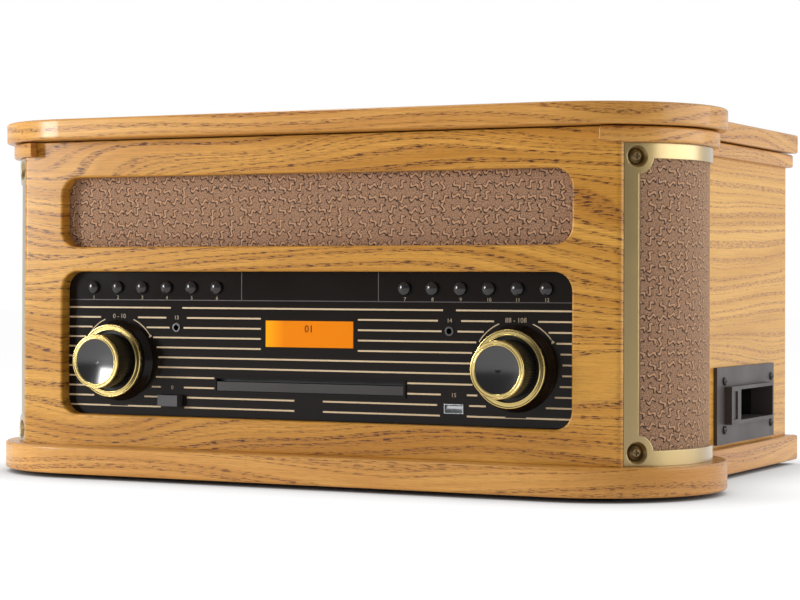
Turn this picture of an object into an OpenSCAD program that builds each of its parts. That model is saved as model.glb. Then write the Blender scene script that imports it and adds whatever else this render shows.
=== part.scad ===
// Wooden music centre: record deck under a hinged lid, disc tray, cassette slot and radio.
// Inside each sub-part, x = 0 is the middle, y = 0 the front board's face (y grows rearwards)
// and z = 0 the underside of the base board. at_home() moves that frame to the part's origin,
// which is on the floor at the middle of the whole plan.

/* [Cabinet] */
// How far the front board's ends stand out from the side boards
face_step = 2.5; // [2:0.1:4]
// Thickness of the front board
face_t = 9; // [7:0.5:12]
// Width over the two side boards
case_w = 429; // [415:1:433]
// Front board's face to the back of the side boards
case_d = 334; // [320:1:360]
// Thickness of the side and rear boards
wall = 9; // [7:0.5:12]
// Thickness of the base board
base_t = 18; // [14:0.5:24]
// Top of the base board to the underside of the lid
case_h = 204; // [200:1:230]
// Thickness of the lid board
lid_t = 13.5; // [10:0.5:18]
// How far the base and the lid stand out from the side boards
overhang = 7; // [5:0.5:9]
// Radius that eases the edges of the boards
edge_r = 1.6; // [1:0.1:2.5]
// Height of the rubber feet
foot_h = 3; // [2:0.5:8]
// Radius of the rubber feet
foot_r = 11; // [8:0.5:14]

/* [Speaker columns] */
// Centres of the round columns inside the side boards' faces
column_in = 38.7; // [37.5:0.1:40]
// Centre of the columns behind the front board's face
column_y = 63; // [60:1:66]
// Outer radius of the metal column frame
column_r = 72.5; // [70:0.5:75]
// How far the top moulding stands out from the column
moulding_step = 4.2; // [3:0.2:6]
// How far the lid and the base stand out from the column
lobe_step = 9.1; // [7.5:0.1:11]
// Height of the moulding under the lid
moulding_h = 9.6; // [7:0.2:12]
// Front end of the moulding from the front board's end
moulding_in = 11.5; // [9:0.5:16]
// Thickness of the metal column frame
frame_t = 2; // [1.5:0.1:2.6]
// Width of the frame's legs
frame_leg = 7.4; // [5:0.2:9]
// Height of the frame's top and bottom arms
frame_arm = 9.4; // [8:0.2:11]
// Radius of the recessed screw bosses
boss_r = 10.6; // [9:0.2:12]
// Radius of the speaker drivers
driver_r = 38.5; // [34:0.5:42]

/* [Front windows] */
// Wood at each end of the windows in the front board
stile_w = 32; // [29:0.5:36]
// Corner radius of the windows
window_r = 12; // [8:0.5:16]
// Rounding of the window edges
window_edge = 1.4; // [1:0.1:3]
// Bottom of the lower window above the base underside
panel_z = 38.8; // [34:0.2:42]
// Height of the lower window
panel_h = 95.4; // [93:0.2:98]
// Wood between the two windows
rail_h = 16.4; // [13:0.2:20]
// Height of the upper window
grille_h = 46.5; // [36:0.5:48]

/* [Front controls] */
// Thickness of the control panel
fascia_t = 3; // [2.4:0.2:3.6]
// Knob axes from the window's ends
knob_in = 40.3; // [38:0.1:43]
// Knob axes above the base underside
knob_z = 75; // [73:0.5:78]
// Radius of the fluted grip of a knob
grip_r = 17.9; // [16.5:0.1:19]
// Radius of the large ring of a knob
skirt_r = 24.2; // [23:0.2:26]
// Groove between the grip and the large ring
ring_gap = 2.1; // [1:0.1:3]
// Radius of the small ring round a knob's face
cap_r = 17.8; // [15:0.2:17.9]
// How far a knob stands out from the control panel
knob_out = 29; // [28:0.5:31]
// Radius of the raised dish under each knob
dish_r = 27; // [26.5:0.5:30]
// Radius of a push button
button_r = 4; // [3:0.1:4.4]
// Distance from one push button to the next
button_pitch = 19.3; // [18:0.1:19.6]
// Outer push buttons from the window's ends
button_in = 19.8; // [19:0.1:22]
// Push buttons above the base underside
button_z = 123.8; // [122.5:0.1:125]
// Travel of a push button
button_travel = 1.2; // [0.6:0.1:1.6]
// Width of the display
display_w = 64; // [56:1:70]
// Height of the display
display_h = 17; // [14:0.5:20]
// Display centre above the base underside
display_z = 94.1; // [93:0.1:96]
// Width of the disc tray
tray_w = 136; // [130:1:138]
// Height of the disc tray
tray_h = 5.8; // [5.6:0.1:7]
// Disc tray centre above the base underside
tray_z = 59.5; // [58:0.1:62]
// Gap over the front of the disc tray
tray_gap = 1.9; // [0.5:0.1:2.2]
// Length of the disc tray
tray_l = 165; // [150:1:172]
// Sockets for headphones and line input from the knob axes
jack_in = 45; // [43:0.1:48]
// Those sockets above the base underside
jack_z = 97.3; // [96:0.1:98]
// Radius of their 3.5 mm bore
jack_bore = 1.8; // [1.76:0.01:1.85]
// Power button and memory socket from the knob axes
port_in = 41.9; // [41:0.1:44]
// Power button and memory socket above the base underside
port_z = 49.2; // [48.8:0.1:50]

/* [Cassette slot] */
// Centre of the slot ahead of the side board's back
slot_back = 88.2; // [84:0.2:92]
// Centre of the slot above the base underside
slot_z = 45.8; // [45:0.2:48]
// Clear width of the slot
slot_w = 70; // [65:0.5:71]
// Clear height of the slot
slot_h = 20.6; // [18:0.2:22]
// Depth of the slot from the collar's face
slot_d = 101.5; // [101:0.5:106]
// Length of the plate round the slot
bezel_w = 123.6; // [121:0.2:126]
// Height of the plate round the slot
bezel_h = 51.4; // [50:0.2:54]
// How far the collar round the slot stands out from its plate
collar_out = 4.9; // [4:0.1:7]

/* [Record deck] */
// Underside of the lid down to the deck plate
deck_drop = 48; // [48:0.5:52]
// Radius of the platter
platter_r = 98; // [92:1:98]
// Spindle from the middle, to the left
spindle_x = 45; // [44:1:50]
// Spindle ahead of the tonearm pivot
spindle_ahead = 94; // [90:1:98]
// Radius of the record spindle
spindle_r = 3.575; // [3.55:0.005:3.6]
// Tonearm pivot to the right of the spindle
arm_right = 170; // [167:1:173]
// Tonearm pivot ahead of the side boards' back
arm_back = 70; // [66:1:74]
// Tonearm pivot to stylus
arm_l = 210; // [206:1:214]

/* [Lid] */
// Hinge centres from the middle
hinge_x = 130; // [110:1:145]
// Length of each hinge
hinge_l = 60; // [48:1:70]
// Length of the lid stay between its pivots
stay_l = 70; // [60:1:76]
// How far the lid opens, in degrees
lid_open = 62; // [45:1:62]

/* [Hidden] */
$fn = 96;
slip = 0.05;      // running clearance of a pin in its bore
gap = 0.3;        // clearance between pieces that move past each other
seat = 0.1;       // clearance between pieces that are fixed side by side

face_w = case_w + 2 * face_step;
column_x = case_w / 2 - column_in;
moulding_x = face_w / 2 - moulding_in;
window_w = face_w - 2 * stile_w;
knob_x = window_w / 2 - knob_in;
button_x = window_w / 2 - button_in - 5 * button_pitch;
jack_x = knob_x - jack_in;
port_x = knob_x - port_in;
slot_y = case_d - slot_back;
arm_x = arm_right - spindle_x;
arm_y = case_d - arm_back;
spindle_y = arm_y - spindle_ahead;

lid_z = base_t + case_h;                  // underside of the lid
board_top = lid_z - 0.8;                  // top of the boards
moulding_z = board_top - moulding_h;
lobe_r = column_r + lobe_step;
moulding_r = column_r + moulding_step;
board_side = case_w / 2 + overhang;       // lid and base, behind the columns
board_rear = case_d + overhang;
strip_side = case_w / 2 + moulding_step;  // moulding, behind the columns
strip_rear = case_d + moulding_step;
inner_w = case_w - 2 * wall;
inner_rear = case_d - wall;

grille_z = panel_z + panel_h + rail_h;    // bottom of the upper window
fascia_back = face_t + fascia_t;
knob_front = knob_out - face_t;           // knobs ahead of the front board
front_reach = max(knob_front, lobe_r - column_y);
face_y = (front_reach - board_rear) / 2;

deck_z = lid_z - deck_drop;               // top of the deck plate
deck_t = 3;
deck_front = fascia_back + 2;
well_z = deck_z - 4;                      // floor of the platter well
well_r = platter_r + 3;
platter_z = well_z + 1.5;
platter_top = platter_z + 12.5;
hub_lift = 1.5;                           // lip of the spindle under the platter's hub
journal_r = 3;
mat_t = 3;
mat_boss = 0.8;                           // boss round the spindle, inside the mat's hole
drive_r = 69;                             // ring under the platter that the belt drives
pulley_r = 4.5;
pulley_off = 84;
pulley_a = 120;                           // direction of the motor from the spindle
pulley_x = -spindle_x + pulley_off * cos(pulley_a);
pulley_y = spindle_y + pulley_off * sin(pulley_a);

arm_axis_z = platter_top + mat_t + 11;    // height of the tonearm's lift axis
arm_tube_r = 4;
stylus_z = platter_top + mat_t + 1.8;
head_a = 22;                              // offset angle of the headshell

hinge_y = case_d + 3.3;
hinge_z = lid_z - 6;
knuckle_r = 2.8;
hinge_pin_r = 1.25;
leaf_t = 1.2;
stay_x = inner_w / 2 - 2.8;               // outer face of the lid stay
stay_t = 1.6;
stay_pivot_y = hinge_y - stay_l;
stay_pin_r = 2.4;

shaft_r = 3;
dish_h = 5;
skirt_front = 12;                         // front of the large ring, from the control panel
ring_t = 2.5;
driver_z = (base_t + moulding_z) / 2;
frame_top = moulding_z - seat;
boss_a = [-48.5, 50.5];                   // bosses round the column, in degrees
boss_drop = 8.2;                          // bosses from the frame's top and bottom ends
screw_r = 1.75;
screw_l = 18;
head_r = 3.7;
cup_r = boss_r - 2.8;                     // cup behind each boss, outside
cup_h = 5.2;                              // from the frame's surface to the cup's back
head_drop = 4;                            // seat of the screw's head below the surface
flange_w = 12;                            // foot of the column former on the side board
cloth_t = 0.9;
plate_t = 2.5;
throat_wall = [1.6, 2.4];                 // beside the slot, and over and under it
eject_w = 8.6;
eject_h = slot_h - 2.4;
eject_bar = 7;                            // between the eject button and the slot
eject_y = slot_y - slot_w / 2 - eject_bar - gap - eject_w / 2;
collar_y = eject_y - eject_w / 2 - gap - 3.3;
collar_top = slot_h / 2 + throat_wall[1];
bezel_y = slot_y - 8.8;                   // centre of the plate
screw_y = bezel_y + 3.8;                  // middle of its four screws
screw_dx = 51;
screw_dz = 16.3;
bezel_screw_l = 8;                        // length of its screws in the side board

oak = "#c98f45";
cloth = "#94705a";
brass = "#c2b184";
gold = "#d8b55a";
black = "#1b1918";
grey = "#5b5254";
steel = "#b9bcc0";

module at_home() {
  translate([0, face_y, foot_h]) children();
}

module both_sides() {
  children();
  mirror([1, 0, 0]) children();
}

// a square whose outer corners are rounded, the section of an eased board
module eased_section(w, t, e) {
  translate([0, e]) square([w, t - 2 * e]);
  square([w - e, t]);
  translate([w - e, e]) circle(e);
  translate([w - e, t - e]) circle(e);
}

// the plan shared by the base, the moulding and the lid: round lobes in front, plain behind
module lobed_board(r, side, rear, t, e) {
  translate([-column_x, column_y, 0]) rotate([90, 0, 90]) linear_extrude(2 * column_x)
    mirror([1, 0]) eased_section(r, t, e);
  both_sides() translate([column_x, column_y, 0]) rotate([0, 0, -90])
    rotate_extrude(angle = 180) eased_section(r, t, e);
  intersection() {
    translate([0, rear, 0]) rotate([90, 0, 0]) linear_extrude(rear - column_y) union() {
      eased_section(side, t, e);
      mirror([1, 0]) eased_section(side, t, e);
    }
    translate([-side, column_y, 0]) rotate([90, 0, 90]) linear_extrude(2 * side)
      eased_section(rear - column_y, t, e);
  }
}

module base_board() {
  color(oak) at_home() difference() {
    lobed_board(lobe_r, board_side, board_rear, base_t, edge_r);
    // shallow rebate that keeps the feet in place
    for (p = foot_places()) translate([p[0], p[1], -1]) cylinder(r = foot_r + seat, h = 2);
  }
}

function foot_places() = [for (x = [-1, 1], y = [20, case_d - 25]) [x * (case_w / 2 - 18), y]];

module feet() {
  color(black) at_home() for (p = foot_places()) translate([p[0], p[1], -foot_h]) {
    cylinder(r1 = foot_r - 1, r2 = foot_r, h = 1);
    translate([0, 0, 1]) cylinder(r = foot_r, h = foot_h);
  }
}

module rounded_plan(w, h, r) {
  square([w - 2 * r, h], center = true);
  square([w, h - 2 * r], center = true);
  for (x = [-1, 1], y = [-1, 1]) translate([x * (w / 2 - r), y * (h / 2 - r)]) circle(r);
}

// a window through the front board with its front edge rounded over
module window_cut(w, h, z) {
  translate([0, 0, z + h / 2]) {
    rotate([90, 0, 0]) translate([0, 0, -face_t - 1]) linear_extrude(face_t + 2)
      rounded_plan(w, h, window_r);
    window_edge_cut(w, h);
  }
}

module window_edge_cut(w, h) {
  e = window_edge;
  straight = [w - 2 * window_r, h - 2 * window_r];
  for (s = [-1, 1]) {
    translate([-straight[0] / 2, 0, s * h / 2]) rotate([90, 0, 90])
      linear_extrude(straight[0]) scale([1, s]) edge_profile(e);
    translate([s * w / 2, 0, -straight[1] / 2]) linear_extrude(straight[1])
      scale([s, 1]) edge_profile(e);
    for (c = [-1, 1]) translate([s * straight[0] / 2, 0, c * straight[1] / 2])
      rotate([-90, 0, 0]) rotate([0, 0, corner_turn(s, c)])
        rotate_extrude(angle = 90) translate([window_r, 0]) edge_profile(e);
  }
}

function corner_turn(s, c) = s > 0 ? (c > 0 ? -90 : 0) : (c > 0 ? 180 : 90);

// what a round-over removes, outwards from the window's wall and back from the board's face
module edge_profile(e) {
  difference() {
    translate([-1, -1]) square([e + 1, e + 1]);
    translate([e, e]) circle(e);
  }
}

module front_panel() {
  corner = 3.5;
  color(oak) at_home() difference() {
    translate([0, 0, base_t]) linear_extrude(board_top - base_t) {
      translate([-face_w / 2, corner]) square([face_w, face_t - corner]);
      translate([-face_w / 2 + corner, 0]) square([face_w - 2 * corner, face_t]);
      for (s = [-1, 1]) translate([s * (face_w / 2 - corner), corner]) circle(corner);
    }
    window_cut(window_w, panel_h, panel_z);
    window_cut(window_w, grille_h, grille_z);
  }
}

module side_panels() {
  cleat = 10;
  color(oak) at_home() {
    difference() {
      side_board(cleat);
      cassette_hole();
      bezel_screw_holes();
    }
    mirror([1, 0, 0]) side_board(cleat);
  }
}

module side_board(cleat) {
  difference() {
    union() {
      translate([inner_w / 2, face_t, base_t]) cube([wall, case_d - face_t, board_top - base_t]);
      // cleat that carries the deck plate
      translate([inner_w / 2 - cleat, deck_front, deck_z - deck_t - cleat])
        cube([cleat, inner_rear - deck_front, cleat]);
    }
    translate([inner_w / 2 - 1, column_y, driver_z]) rotate([0, 90, 0])
      cylinder(r = driver_r - 4, h = wall + 2);
    column_screw_holes(screw_r + seat);
  }
}

// room in the right side board for the slot's throat and the eject button
module cassette_hole() {
  low = eject_y - eject_w / 2 - 1.5;
  high = slot_y + slot_w / 2 + 2.5;
  translate([inner_w / 2 - 1, low, slot_z - slot_h / 2 - 3.5])
    cube([wall + 2, high - low, slot_h + 7]);
}

module rear_panel() {
  color(oak) at_home() difference() {
    translate([-inner_w / 2 + seat, inner_rear, base_t])
      cube([inner_w - 2 * seat, wall, board_top - base_t]);
    for (i = [-6 : 6]) translate([i * 11 - 2, inner_rear - 1, base_t + 90])
      cube([4, wall + 2, 50]);
    rear_socket_holes();
  }
}

// the moulding is one section run round the cabinet and cut into three lengths
module top_mouldings() {
  color(oak) at_home() {
    both_sides() translate([0, 0, moulding_z]) difference() {
      lobed_board(moulding_r, strip_side, strip_rear, moulding_h, edge_r);
      translate([-face_w / 2 - seat, -1, -1])
        cube([face_w + 2 * seat, face_t + 1 + seat, moulding_h + 2]);
      translate([-case_w / 2 - seat, 0, -1])
        cube([case_w + 2 * seat, strip_rear + 1, moulding_h + 2]);
      translate([-face_w, -moulding_r, -1])
        cube([face_w + moulding_x, moulding_r + seat, moulding_h + 2]);
      translate([-face_w, -moulding_r, -1])
        cube([face_w, moulding_r + strip_rear + 1, moulding_h + 2]);
    }
    difference() {
      translate([-case_w / 2, case_d, moulding_z])
        cube([case_w, moulding_step, moulding_h - edge_r / 2]);
      for (s = [-1, 1]) translate([s * hinge_x - hinge_l / 2 - 1, case_d - 1, moulding_z - 1])
        cube([hinge_l + 2, moulding_step + 2, moulding_h + 2]);
    }
  }
}

module lid_board() {
  color(oak) at_home() difference() {
    translate([0, 0, lid_z]) lobed_board(lobe_r, board_side, board_rear, lid_t, edge_r);
    for (s = [-1, 1]) translate([s * hinge_x - hinge_l / 2 - seat, board_rear - leaf_t - 0.3,
      lid_z - 1]) cube([hinge_l + 2 * seat, leaf_t + 1, lid_t - 2]);
  }
}

// butt hinges on the back: the fixed leaf on the rear board, the moving leaf in the lid's edge
module lid_hardware_fixed() {
  third = hinge_l / 3;
  color(brass) at_home() {
    for (s = [-1, 1]) translate([s * hinge_x, 0, 0]) {
      translate([-hinge_l / 2, case_d, hinge_z - 28]) cube([hinge_l, leaf_t, 28 - knuckle_r - gap]);
      for (k = [-1, 1]) translate([k * third - third / 2 + (k < 0 ? 0 : gap), 0, 0]) {
        translate([0, hinge_y, hinge_z]) rotate([0, 90, 0]) cylinder(r = knuckle_r, h = third - gap);
        translate([0, case_d, hinge_z - knuckle_r - 2]) cube([third - gap, leaf_t, knuckle_r + 2]);
      }
      translate([-hinge_l / 2, hinge_y, hinge_z]) rotate([0, 90, 0])
        cylinder(r = hinge_pin_r, h = hinge_l);
    }
    // stud on the right side board that carries the lid stay
    translate([stay_x - stay_t - 0.8, stay_pivot_y, hinge_z]) rotate([0, 90, 0]) {
      cylinder(r = shaft_r, h = inner_w / 2 - stay_x + stay_t + 0.8);
      cylinder(r = 5, h = 0.6);
      translate([0, 0, stay_t + 1.1]) cylinder(r = 5, h = inner_w / 2 - stay_x - 0.3);
    }
  }
}

module lid_hardware_moving() {
  third = hinge_l / 3;
  color(brass) at_home() {
    for (s = [-1, 1]) translate([s * hinge_x, 0, 0]) difference() {
      union() {
        translate([-third / 2 + gap / 2, hinge_y, hinge_z]) rotate([0, 90, 0])
          cylinder(r = knuckle_r, h = third - gap);
        translate([-third / 2 + gap / 2, board_rear - leaf_t - 0.2, hinge_z])
          cube([third - gap, leaf_t, lid_z - hinge_z + 1]);
        translate([-hinge_l / 2, board_rear - leaf_t - 0.2, lid_z + 0.2])
          cube([hinge_l, leaf_t, lid_t - 4]);
      }
      translate([-third / 2 - 1, hinge_y, hinge_z]) rotate([0, 90, 0])
        cylinder(r = hinge_pin_r + slip, h = third + 2);
    }
    stay_track();
  }
}

// slotted plate under the lid in which the end of the stay slides
module stay_track() {
  near = stay_l * 2 * cos(lid_open) - 4;
  far = 2 * stay_l + 4;
  x = stay_x - stay_t - 2.6;
  difference() {
    union() {
      translate([x, hinge_y - far - 4, hinge_z - 5.5])
        cube([1.4, far - near + 8, lid_z - hinge_z + 5.5]);
      translate([x - 9, hinge_y - far - 4, lid_z - 1.4]) cube([10, far - near + 8, 1.4]);
    }
    for (y = [near, far]) translate([x - 1, hinge_y - y, hinge_z]) rotate([0, 90, 0])
      cylinder(r = stay_pin_r + gap, h = 3.4);
    translate([x - 1, hinge_y - far, hinge_z - stay_pin_r - gap])
      cube([3.4, far - near, 2 * (stay_pin_r + gap)]);
  }
}

module lid_stay() {
  color(steel) at_home() translate([stay_x, 0, hinge_z]) rotate([0, -90, 0]) {
    difference() {
      union() {
        for (y = [stay_pivot_y, stay_pivot_y - stay_l]) translate([0, y, 0])
          cylinder(r = 5, h = stay_t);
        translate([-4, stay_pivot_y - stay_l, 0]) cube([8, stay_l, stay_t]);
      }
      translate([0, stay_pivot_y, -1]) cylinder(r = shaft_r + slip, h = stay_t + 2);
    }
    translate([0, stay_pivot_y - stay_l, 0]) cylinder(r = stay_pin_r, h = stay_t + 4.4);
    translate([0, stay_pivot_y - stay_l, stay_t + 3]) cylinder(r = 4, h = 1.4);
  }
}

// part of a tube round the column's axis, outside the front board's end and the side board
module column_shell(outer, inner, low, high) {
  difference() {
    translate([column_x, column_y, low]) cylinder(r = outer, h = high - low);
    translate([column_x, column_y, low - 1]) cylinder(r = inner, h = high - low + 2);
    translate([0, column_y - outer - 1, low - 1])
      cube([case_w / 2 + seat, 2 * outer + 2, high - low + 2]);
    translate([0, -outer, low - 1])
      cube([face_w / 2 + seat, outer + face_t + seat, high - low + 2]);
  }
}

// children stand on the column's surface at each boss, pointing outwards along +x
module at_bosses() {
  for (a = boss_a, z = [base_t + boss_drop, frame_top - boss_drop])
    translate([column_x, column_y, z]) rotate([0, 0, a]) children();
}

module column_screw_holes(r) {
  at_bosses() translate([column_r - head_drop - screw_l - 1, 0, 0]) rotate([0, 90, 0])
    cylinder(r = r, h = screw_l + head_drop + 3);
}

// room for the cups in the cloth and its former
module cup_holes() {
  at_bosses() translate([column_r - cup_h - 2, 0, 0]) rotate([0, 90, 0])
    cylinder(r = cup_r + seat, h = cup_h + 3);
}

module column_frame() {
  inner = column_r - frame_t;
  window_top = frame_top - base_t - 2 * frame_arm;
  difference() {
    union() {
      difference() {
        column_shell(column_r, inner, base_t, frame_top);
        translate([face_w / 2 + frame_leg, column_y - column_r, base_t + frame_arm])
          cube([column_r, column_r + 1, window_top]);
        translate([case_w / 2 + frame_leg, column_y, base_t + frame_arm])
          cube([column_r, column_r, window_top]);
      }
      intersection() {
        column_shell(column_r, inner, base_t, frame_top);
        at_bosses() rotate([0, 90, 0]) cylinder(r = boss_r, h = column_r + 1);
      }
      intersection() {
        column_shell(column_r - frame_t / 2, column_r - cup_h, base_t, frame_top);
        at_bosses() rotate([0, 90, 0]) cylinder(r = cup_r, h = column_r);
      }
    }
    // dished seat and hole for each screw
    at_bosses() translate([column_r - head_drop, 0, 0]) rotate([0, 90, 0])
      cylinder(r1 = head_r + gap, r2 = cup_r - 1, h = head_drop + seat);
    column_screw_holes(screw_r + seat);
  }
}

module column_frames() {
  color(brass) at_home() both_sides() column_frame();
}

module column_cloths() {
  outer = column_r - frame_t - seat;
  color(cloth) at_home() both_sides() difference() {
    column_shell(outer, outer - cloth_t, base_t, frame_top);
    cup_holes();
  }
}

// perforated half-round carrier behind the cloth, with flanges on the side board
module column_formers() {
  outer = column_r - frame_t - 2 * seat - cloth_t;
  rows = 7;
  step = (frame_top - base_t - 24) / rows;
  color(black) at_home() both_sides() difference() {
    union() {
      column_shell(outer, outer - 3, base_t, frame_top);
      intersection() {
        column_shell(outer, outer - flange_w, base_t, frame_top);
        translate([0, 0, base_t]) cube([face_w / 2 + 3.5, 2 * column_r + column_y, case_h]);
      }
    }
    for (i = [0 : rows - 1], a = [-24, 0, 24])
      translate([column_x, column_y, base_t + 12 + i * step]) rotate([0, 0, a])
        translate([outer - 6, -11, 2]) cube([12, 22, step - 5]);
    column_screw_holes(screw_r + seat);
    cup_holes();
  }
}

module cross_head(r, h) {
  difference() {
    union() {
      cylinder(r = r, h = h / 2);
      translate([0, 0, h / 2]) cylinder(r1 = r, r2 = r * 0.62, h = h / 2);
    }
    for (a = [0, 90]) rotate([0, 0, a])
      translate([-r * 0.5, -r * 0.11, h * 0.35]) cube([r, r * 0.22, h]);
  }
}

module column_screws() {
  color("#8a7a5c") at_home() both_sides() at_bosses()
    translate([column_r - head_drop, 0, 0]) rotate([0, 90, 0]) {
      cross_head(head_r, 2.4);
      translate([0, 0, -screw_l]) cylinder(r = screw_r, h = screw_l + 0.2);
    }
}

module speakers() {
  color(black) at_home() both_sides() translate([case_w / 2, column_y, driver_z]) rotate([0, 90, 0])
    rotate_extrude() polygon([[0, -34], [20, -34], [20, -22], [driver_r - 8, -6],
      [driver_r - 5, 0], [driver_r, 0], [driver_r, 2], [driver_r - 3, 2], [driver_r - 4, 3.4],
      [driver_r - 8, 3.4], [driver_r - 10, 1], [9, -9], [0, -6]]);
}

// cloth-covered board behind the upper window
module grille_cloth() {
  lap = 6;
  color(cloth) at_home() translate([0, face_t + 1.6, grille_z + grille_h / 2])
    rotate([90, 0, 0]) linear_extrude(1.6) square([window_w + 2 * lap, grille_h + 2 * lap], center = true);
}

module fascia() {
  lap = 6;
  mid_z = panel_z + panel_h / 2;
  color(black) at_home() difference() {
    union() {
      translate([-window_w / 2 - lap, face_t, mid_z - panel_h / 2 - lap])
        cube([window_w + 2 * lap, fascia_t, panel_h + 2 * lap]);
      both_sides() translate([knob_x, face_t + 0.5, knob_z]) rotate([90, 0, 0]) rotate_extrude()
        polygon([[0, 0], [dish_r, 0], [dish_r, 1.3], [dish_r - 0.5, 1.8],
          [dish_r - 3.5, dish_h + 0.5], [0, dish_h + 0.5]]);
      translate([-tray_w / 2 - tray_rim, face_t - 1, tray_z - tray_h / 2 - tray_rim])
        cube([tray_w + 2 * tray_rim, 2, tray_h + tray_gap + 2 * tray_rim]);
    }
    both_sides() translate([knob_x, fascia_back + 1, knob_z]) rotate([90, 0, 0])
      cylinder(r = 4.7, h = fascia_t + dish_h + 3);
    for (i = [0 : 11]) translate([button_place(i), fascia_back + 1, button_z]) rotate([90, 0, 0])
      cylinder(r = button_r + 0.2, h = fascia_t + 2);
    translate([0, face_t, display_z])
      cube([display_w + 0.2, 2 * lens_seat, display_h + 0.2], center = true);
    translate([-tray_w / 2 - gap, face_t - 4, tray_z - tray_h / 2 - gap])
      cube([tray_w + 2 * gap, fascia_t + 8, tray_h + tray_gap + 2 * gap]);
    both_sides() translate([jack_x, fascia_back + 1, jack_z]) rotate([90, 0, 0])
      cylinder(r = 3.1, h = fascia_t + 2);
    translate([port_x, face_t, port_z])
      cube([usb_w + 2 * gap, 20, usb_h + 2 * gap], center = true);
    translate([-port_x, face_t, port_z])
      cube([power_w + 2 * gap, 20, power_h + 2 * gap], center = true);
  }
}

switch_pin = 5;                           // pin behind a button, which reaches its switch
lens_seat = 2.2;                          // depth of the pocket that holds the display lens
tray_rim = 1.8;                           // raised frame round the tray's slot
usb_w = 13.2;
usb_h = 5.9;
usb_l = 14;
usb_wall = 0.45;
power_w = 15.2;
power_h = 7.2;

function button_place(i) = i < 6 ? -button_x - (5 - i) * button_pitch : button_x + (i - 6) * button_pitch;

module push_button(i) {
  color(black) at_home() translate([button_place(i), fascia_back, button_z]) rotate([90, 0, 0]) {
    translate([0, 0, -1.2 - seat]) cylinder(r = button_r + 1.2, h = 1.2);
    translate([0, 0, -1.2]) cylinder(r = button_r, h = fascia_t + 3);
    translate([0, 0, fascia_t + 1.8]) intersection() {
      cylinder(r = button_r, h = 3);
      translate([0, 0, -5.3]) sphere(r = 6.8);
    }
    translate([0, 0, -switch_pin]) cylinder(r = 1.5, h = switch_pin);
  }
}

module button_1() { push_button(0); }
module button_2() { push_button(1); }
module button_3() { push_button(2); }
module button_4() { push_button(3); }
module button_5() { push_button(4); }
module button_6() { push_button(5); }
module button_7() { push_button(6); }
module button_8() { push_button(7); }
module button_9() { push_button(8); }
module button_10() { push_button(9); }
module button_11() { push_button(10); }
module button_12() { push_button(11); }

module display_lens() {
  recess = 0.2;
  color("#f29a1e") at_home() translate([-display_w / 2, face_t + recess, display_z - display_h / 2])
    cube([display_w, lens_seat - recess, display_h]);
}

// children stand on the control panel at a knob's axis, pointing forward along +z
module at_knob(side) {
  translate([side * knob_x, face_t, knob_z]) rotate([90, 0, 0]) children();
}

// fluted grip with its shaft; the front is hollowed into a shallow dish
module knob_grip(side) {
  back = dish_h + 1;
  flutes = 64;
  flute_r = 0.5;
  grip_front = knob_out - 3;
  face_r = cap_r - 3.3;
  hollow = 1.3;
  hollow_r = (face_r * face_r + hollow * hollow) / (2 * hollow);
  color(black) at_home() at_knob(side) difference() {
    union() {
      translate([0, 0, back]) cylinder(r = skirt_r - 0.6, h = skirt_front - ring_t - back);
      translate([0, 0, back]) linear_extrude(grip_front - back) difference() {
        circle(grip_r);
        for (i = [0 : flutes - 1]) rotate(i * 360 / flutes) translate([grip_r + 0.15, 0])
          circle(flute_r, $fn = 16);
      }
      translate([0, 0, grip_front - 1]) cylinder(r = cap_r - 0.8, h = 1.7);
      translate([0, 0, grip_front]) cylinder(r = face_r, h = 2.1);
      translate([0, 0, -fascia_t - 9]) cylinder(r = shaft_r, h = knob_out - 6 + fascia_t + 9);
    }
    translate([0, 0, knob_out - 0.9 - hollow + hollow_r]) sphere(r = hollow_r);
  }
}

// large ring on the skirt, with a bead at each edge, and small ring round the face
module knob_rings(side) {
  ring_in = grip_r + ring_gap;
  bead = 0.7;
  cap_ring = 3.2;
  color(gold) at_home() at_knob(side) {
    translate([0, 0, skirt_front - ring_t]) rotate_extrude() {
      translate([ring_in, 0]) square([skirt_r - ring_in, ring_t - bead]);
      translate([ring_in + bead, 0]) square([skirt_r - ring_in - 2 * bead, ring_t - bead / 2]);
      translate([ring_in + bead, ring_t - bead]) circle(bead);
      translate([skirt_r - bead, ring_t - bead]) circle(bead);
    }
    translate([0, 0, knob_out - 2.3]) rotate_extrude() {
      translate([cap_r - cap_ring, 0]) square([cap_ring, 1.5]);
      translate([cap_r - cap_ring + bead, 0]) square([cap_ring - 2 * bead, 1.9]);
      translate([cap_r - cap_ring + bead, 1.5]) circle(bead);
      translate([cap_r - bead, 1.5]) circle(bead);
    }
  }
}

module volume_knob() { knob_grip(-1); }
module volume_rings() { knob_rings(-1); }
module tuning_knob() { knob_grip(1); }
module tuning_rings() { knob_rings(1); }

// potentiometer and tuning encoder behind the control panel
module rotary_controls() {
  color(steel) at_home() for (s = [-1, 1]) at_knob(s) difference() {
    union() {
      translate([0, 0, -fascia_t - 11]) cylinder(r = 9, h = 11);
      translate([0, 0, -fascia_t - 1]) cylinder(r = 4.6, h = fascia_t + 4);
    }
    translate([0, 0, -fascia_t - 9.5]) cylinder(r = shaft_r + slip, h = 30);
  }
}

module power_button() {
  reach = 6.3;
  color(black) at_home() translate([-port_x, face_t - reach, port_z]) {
    translate([-power_w / 2, 0, -power_h / 2]) cube([power_w, reach + fascia_t + 6, power_h]);
    translate([-power_w / 2 - 2, reach + fascia_t + seat, -power_h / 2 - 1.5])
      cube([power_w + 4, 2, power_h + 3]);
  }
}

module audio_jacks() {
  color(steel) at_home() both_sides() translate([jack_x, fascia_back, jack_z]) rotate([90, 0, 0])
    difference() {
      union() {
        cylinder(r = 3, h = fascia_t + 0.6);
        translate([-4, -4, -14]) cube([8, 8, 14]);
      }
      translate([0, 0, -12]) cylinder(r = jack_bore, h = 30);
    }
}

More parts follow.
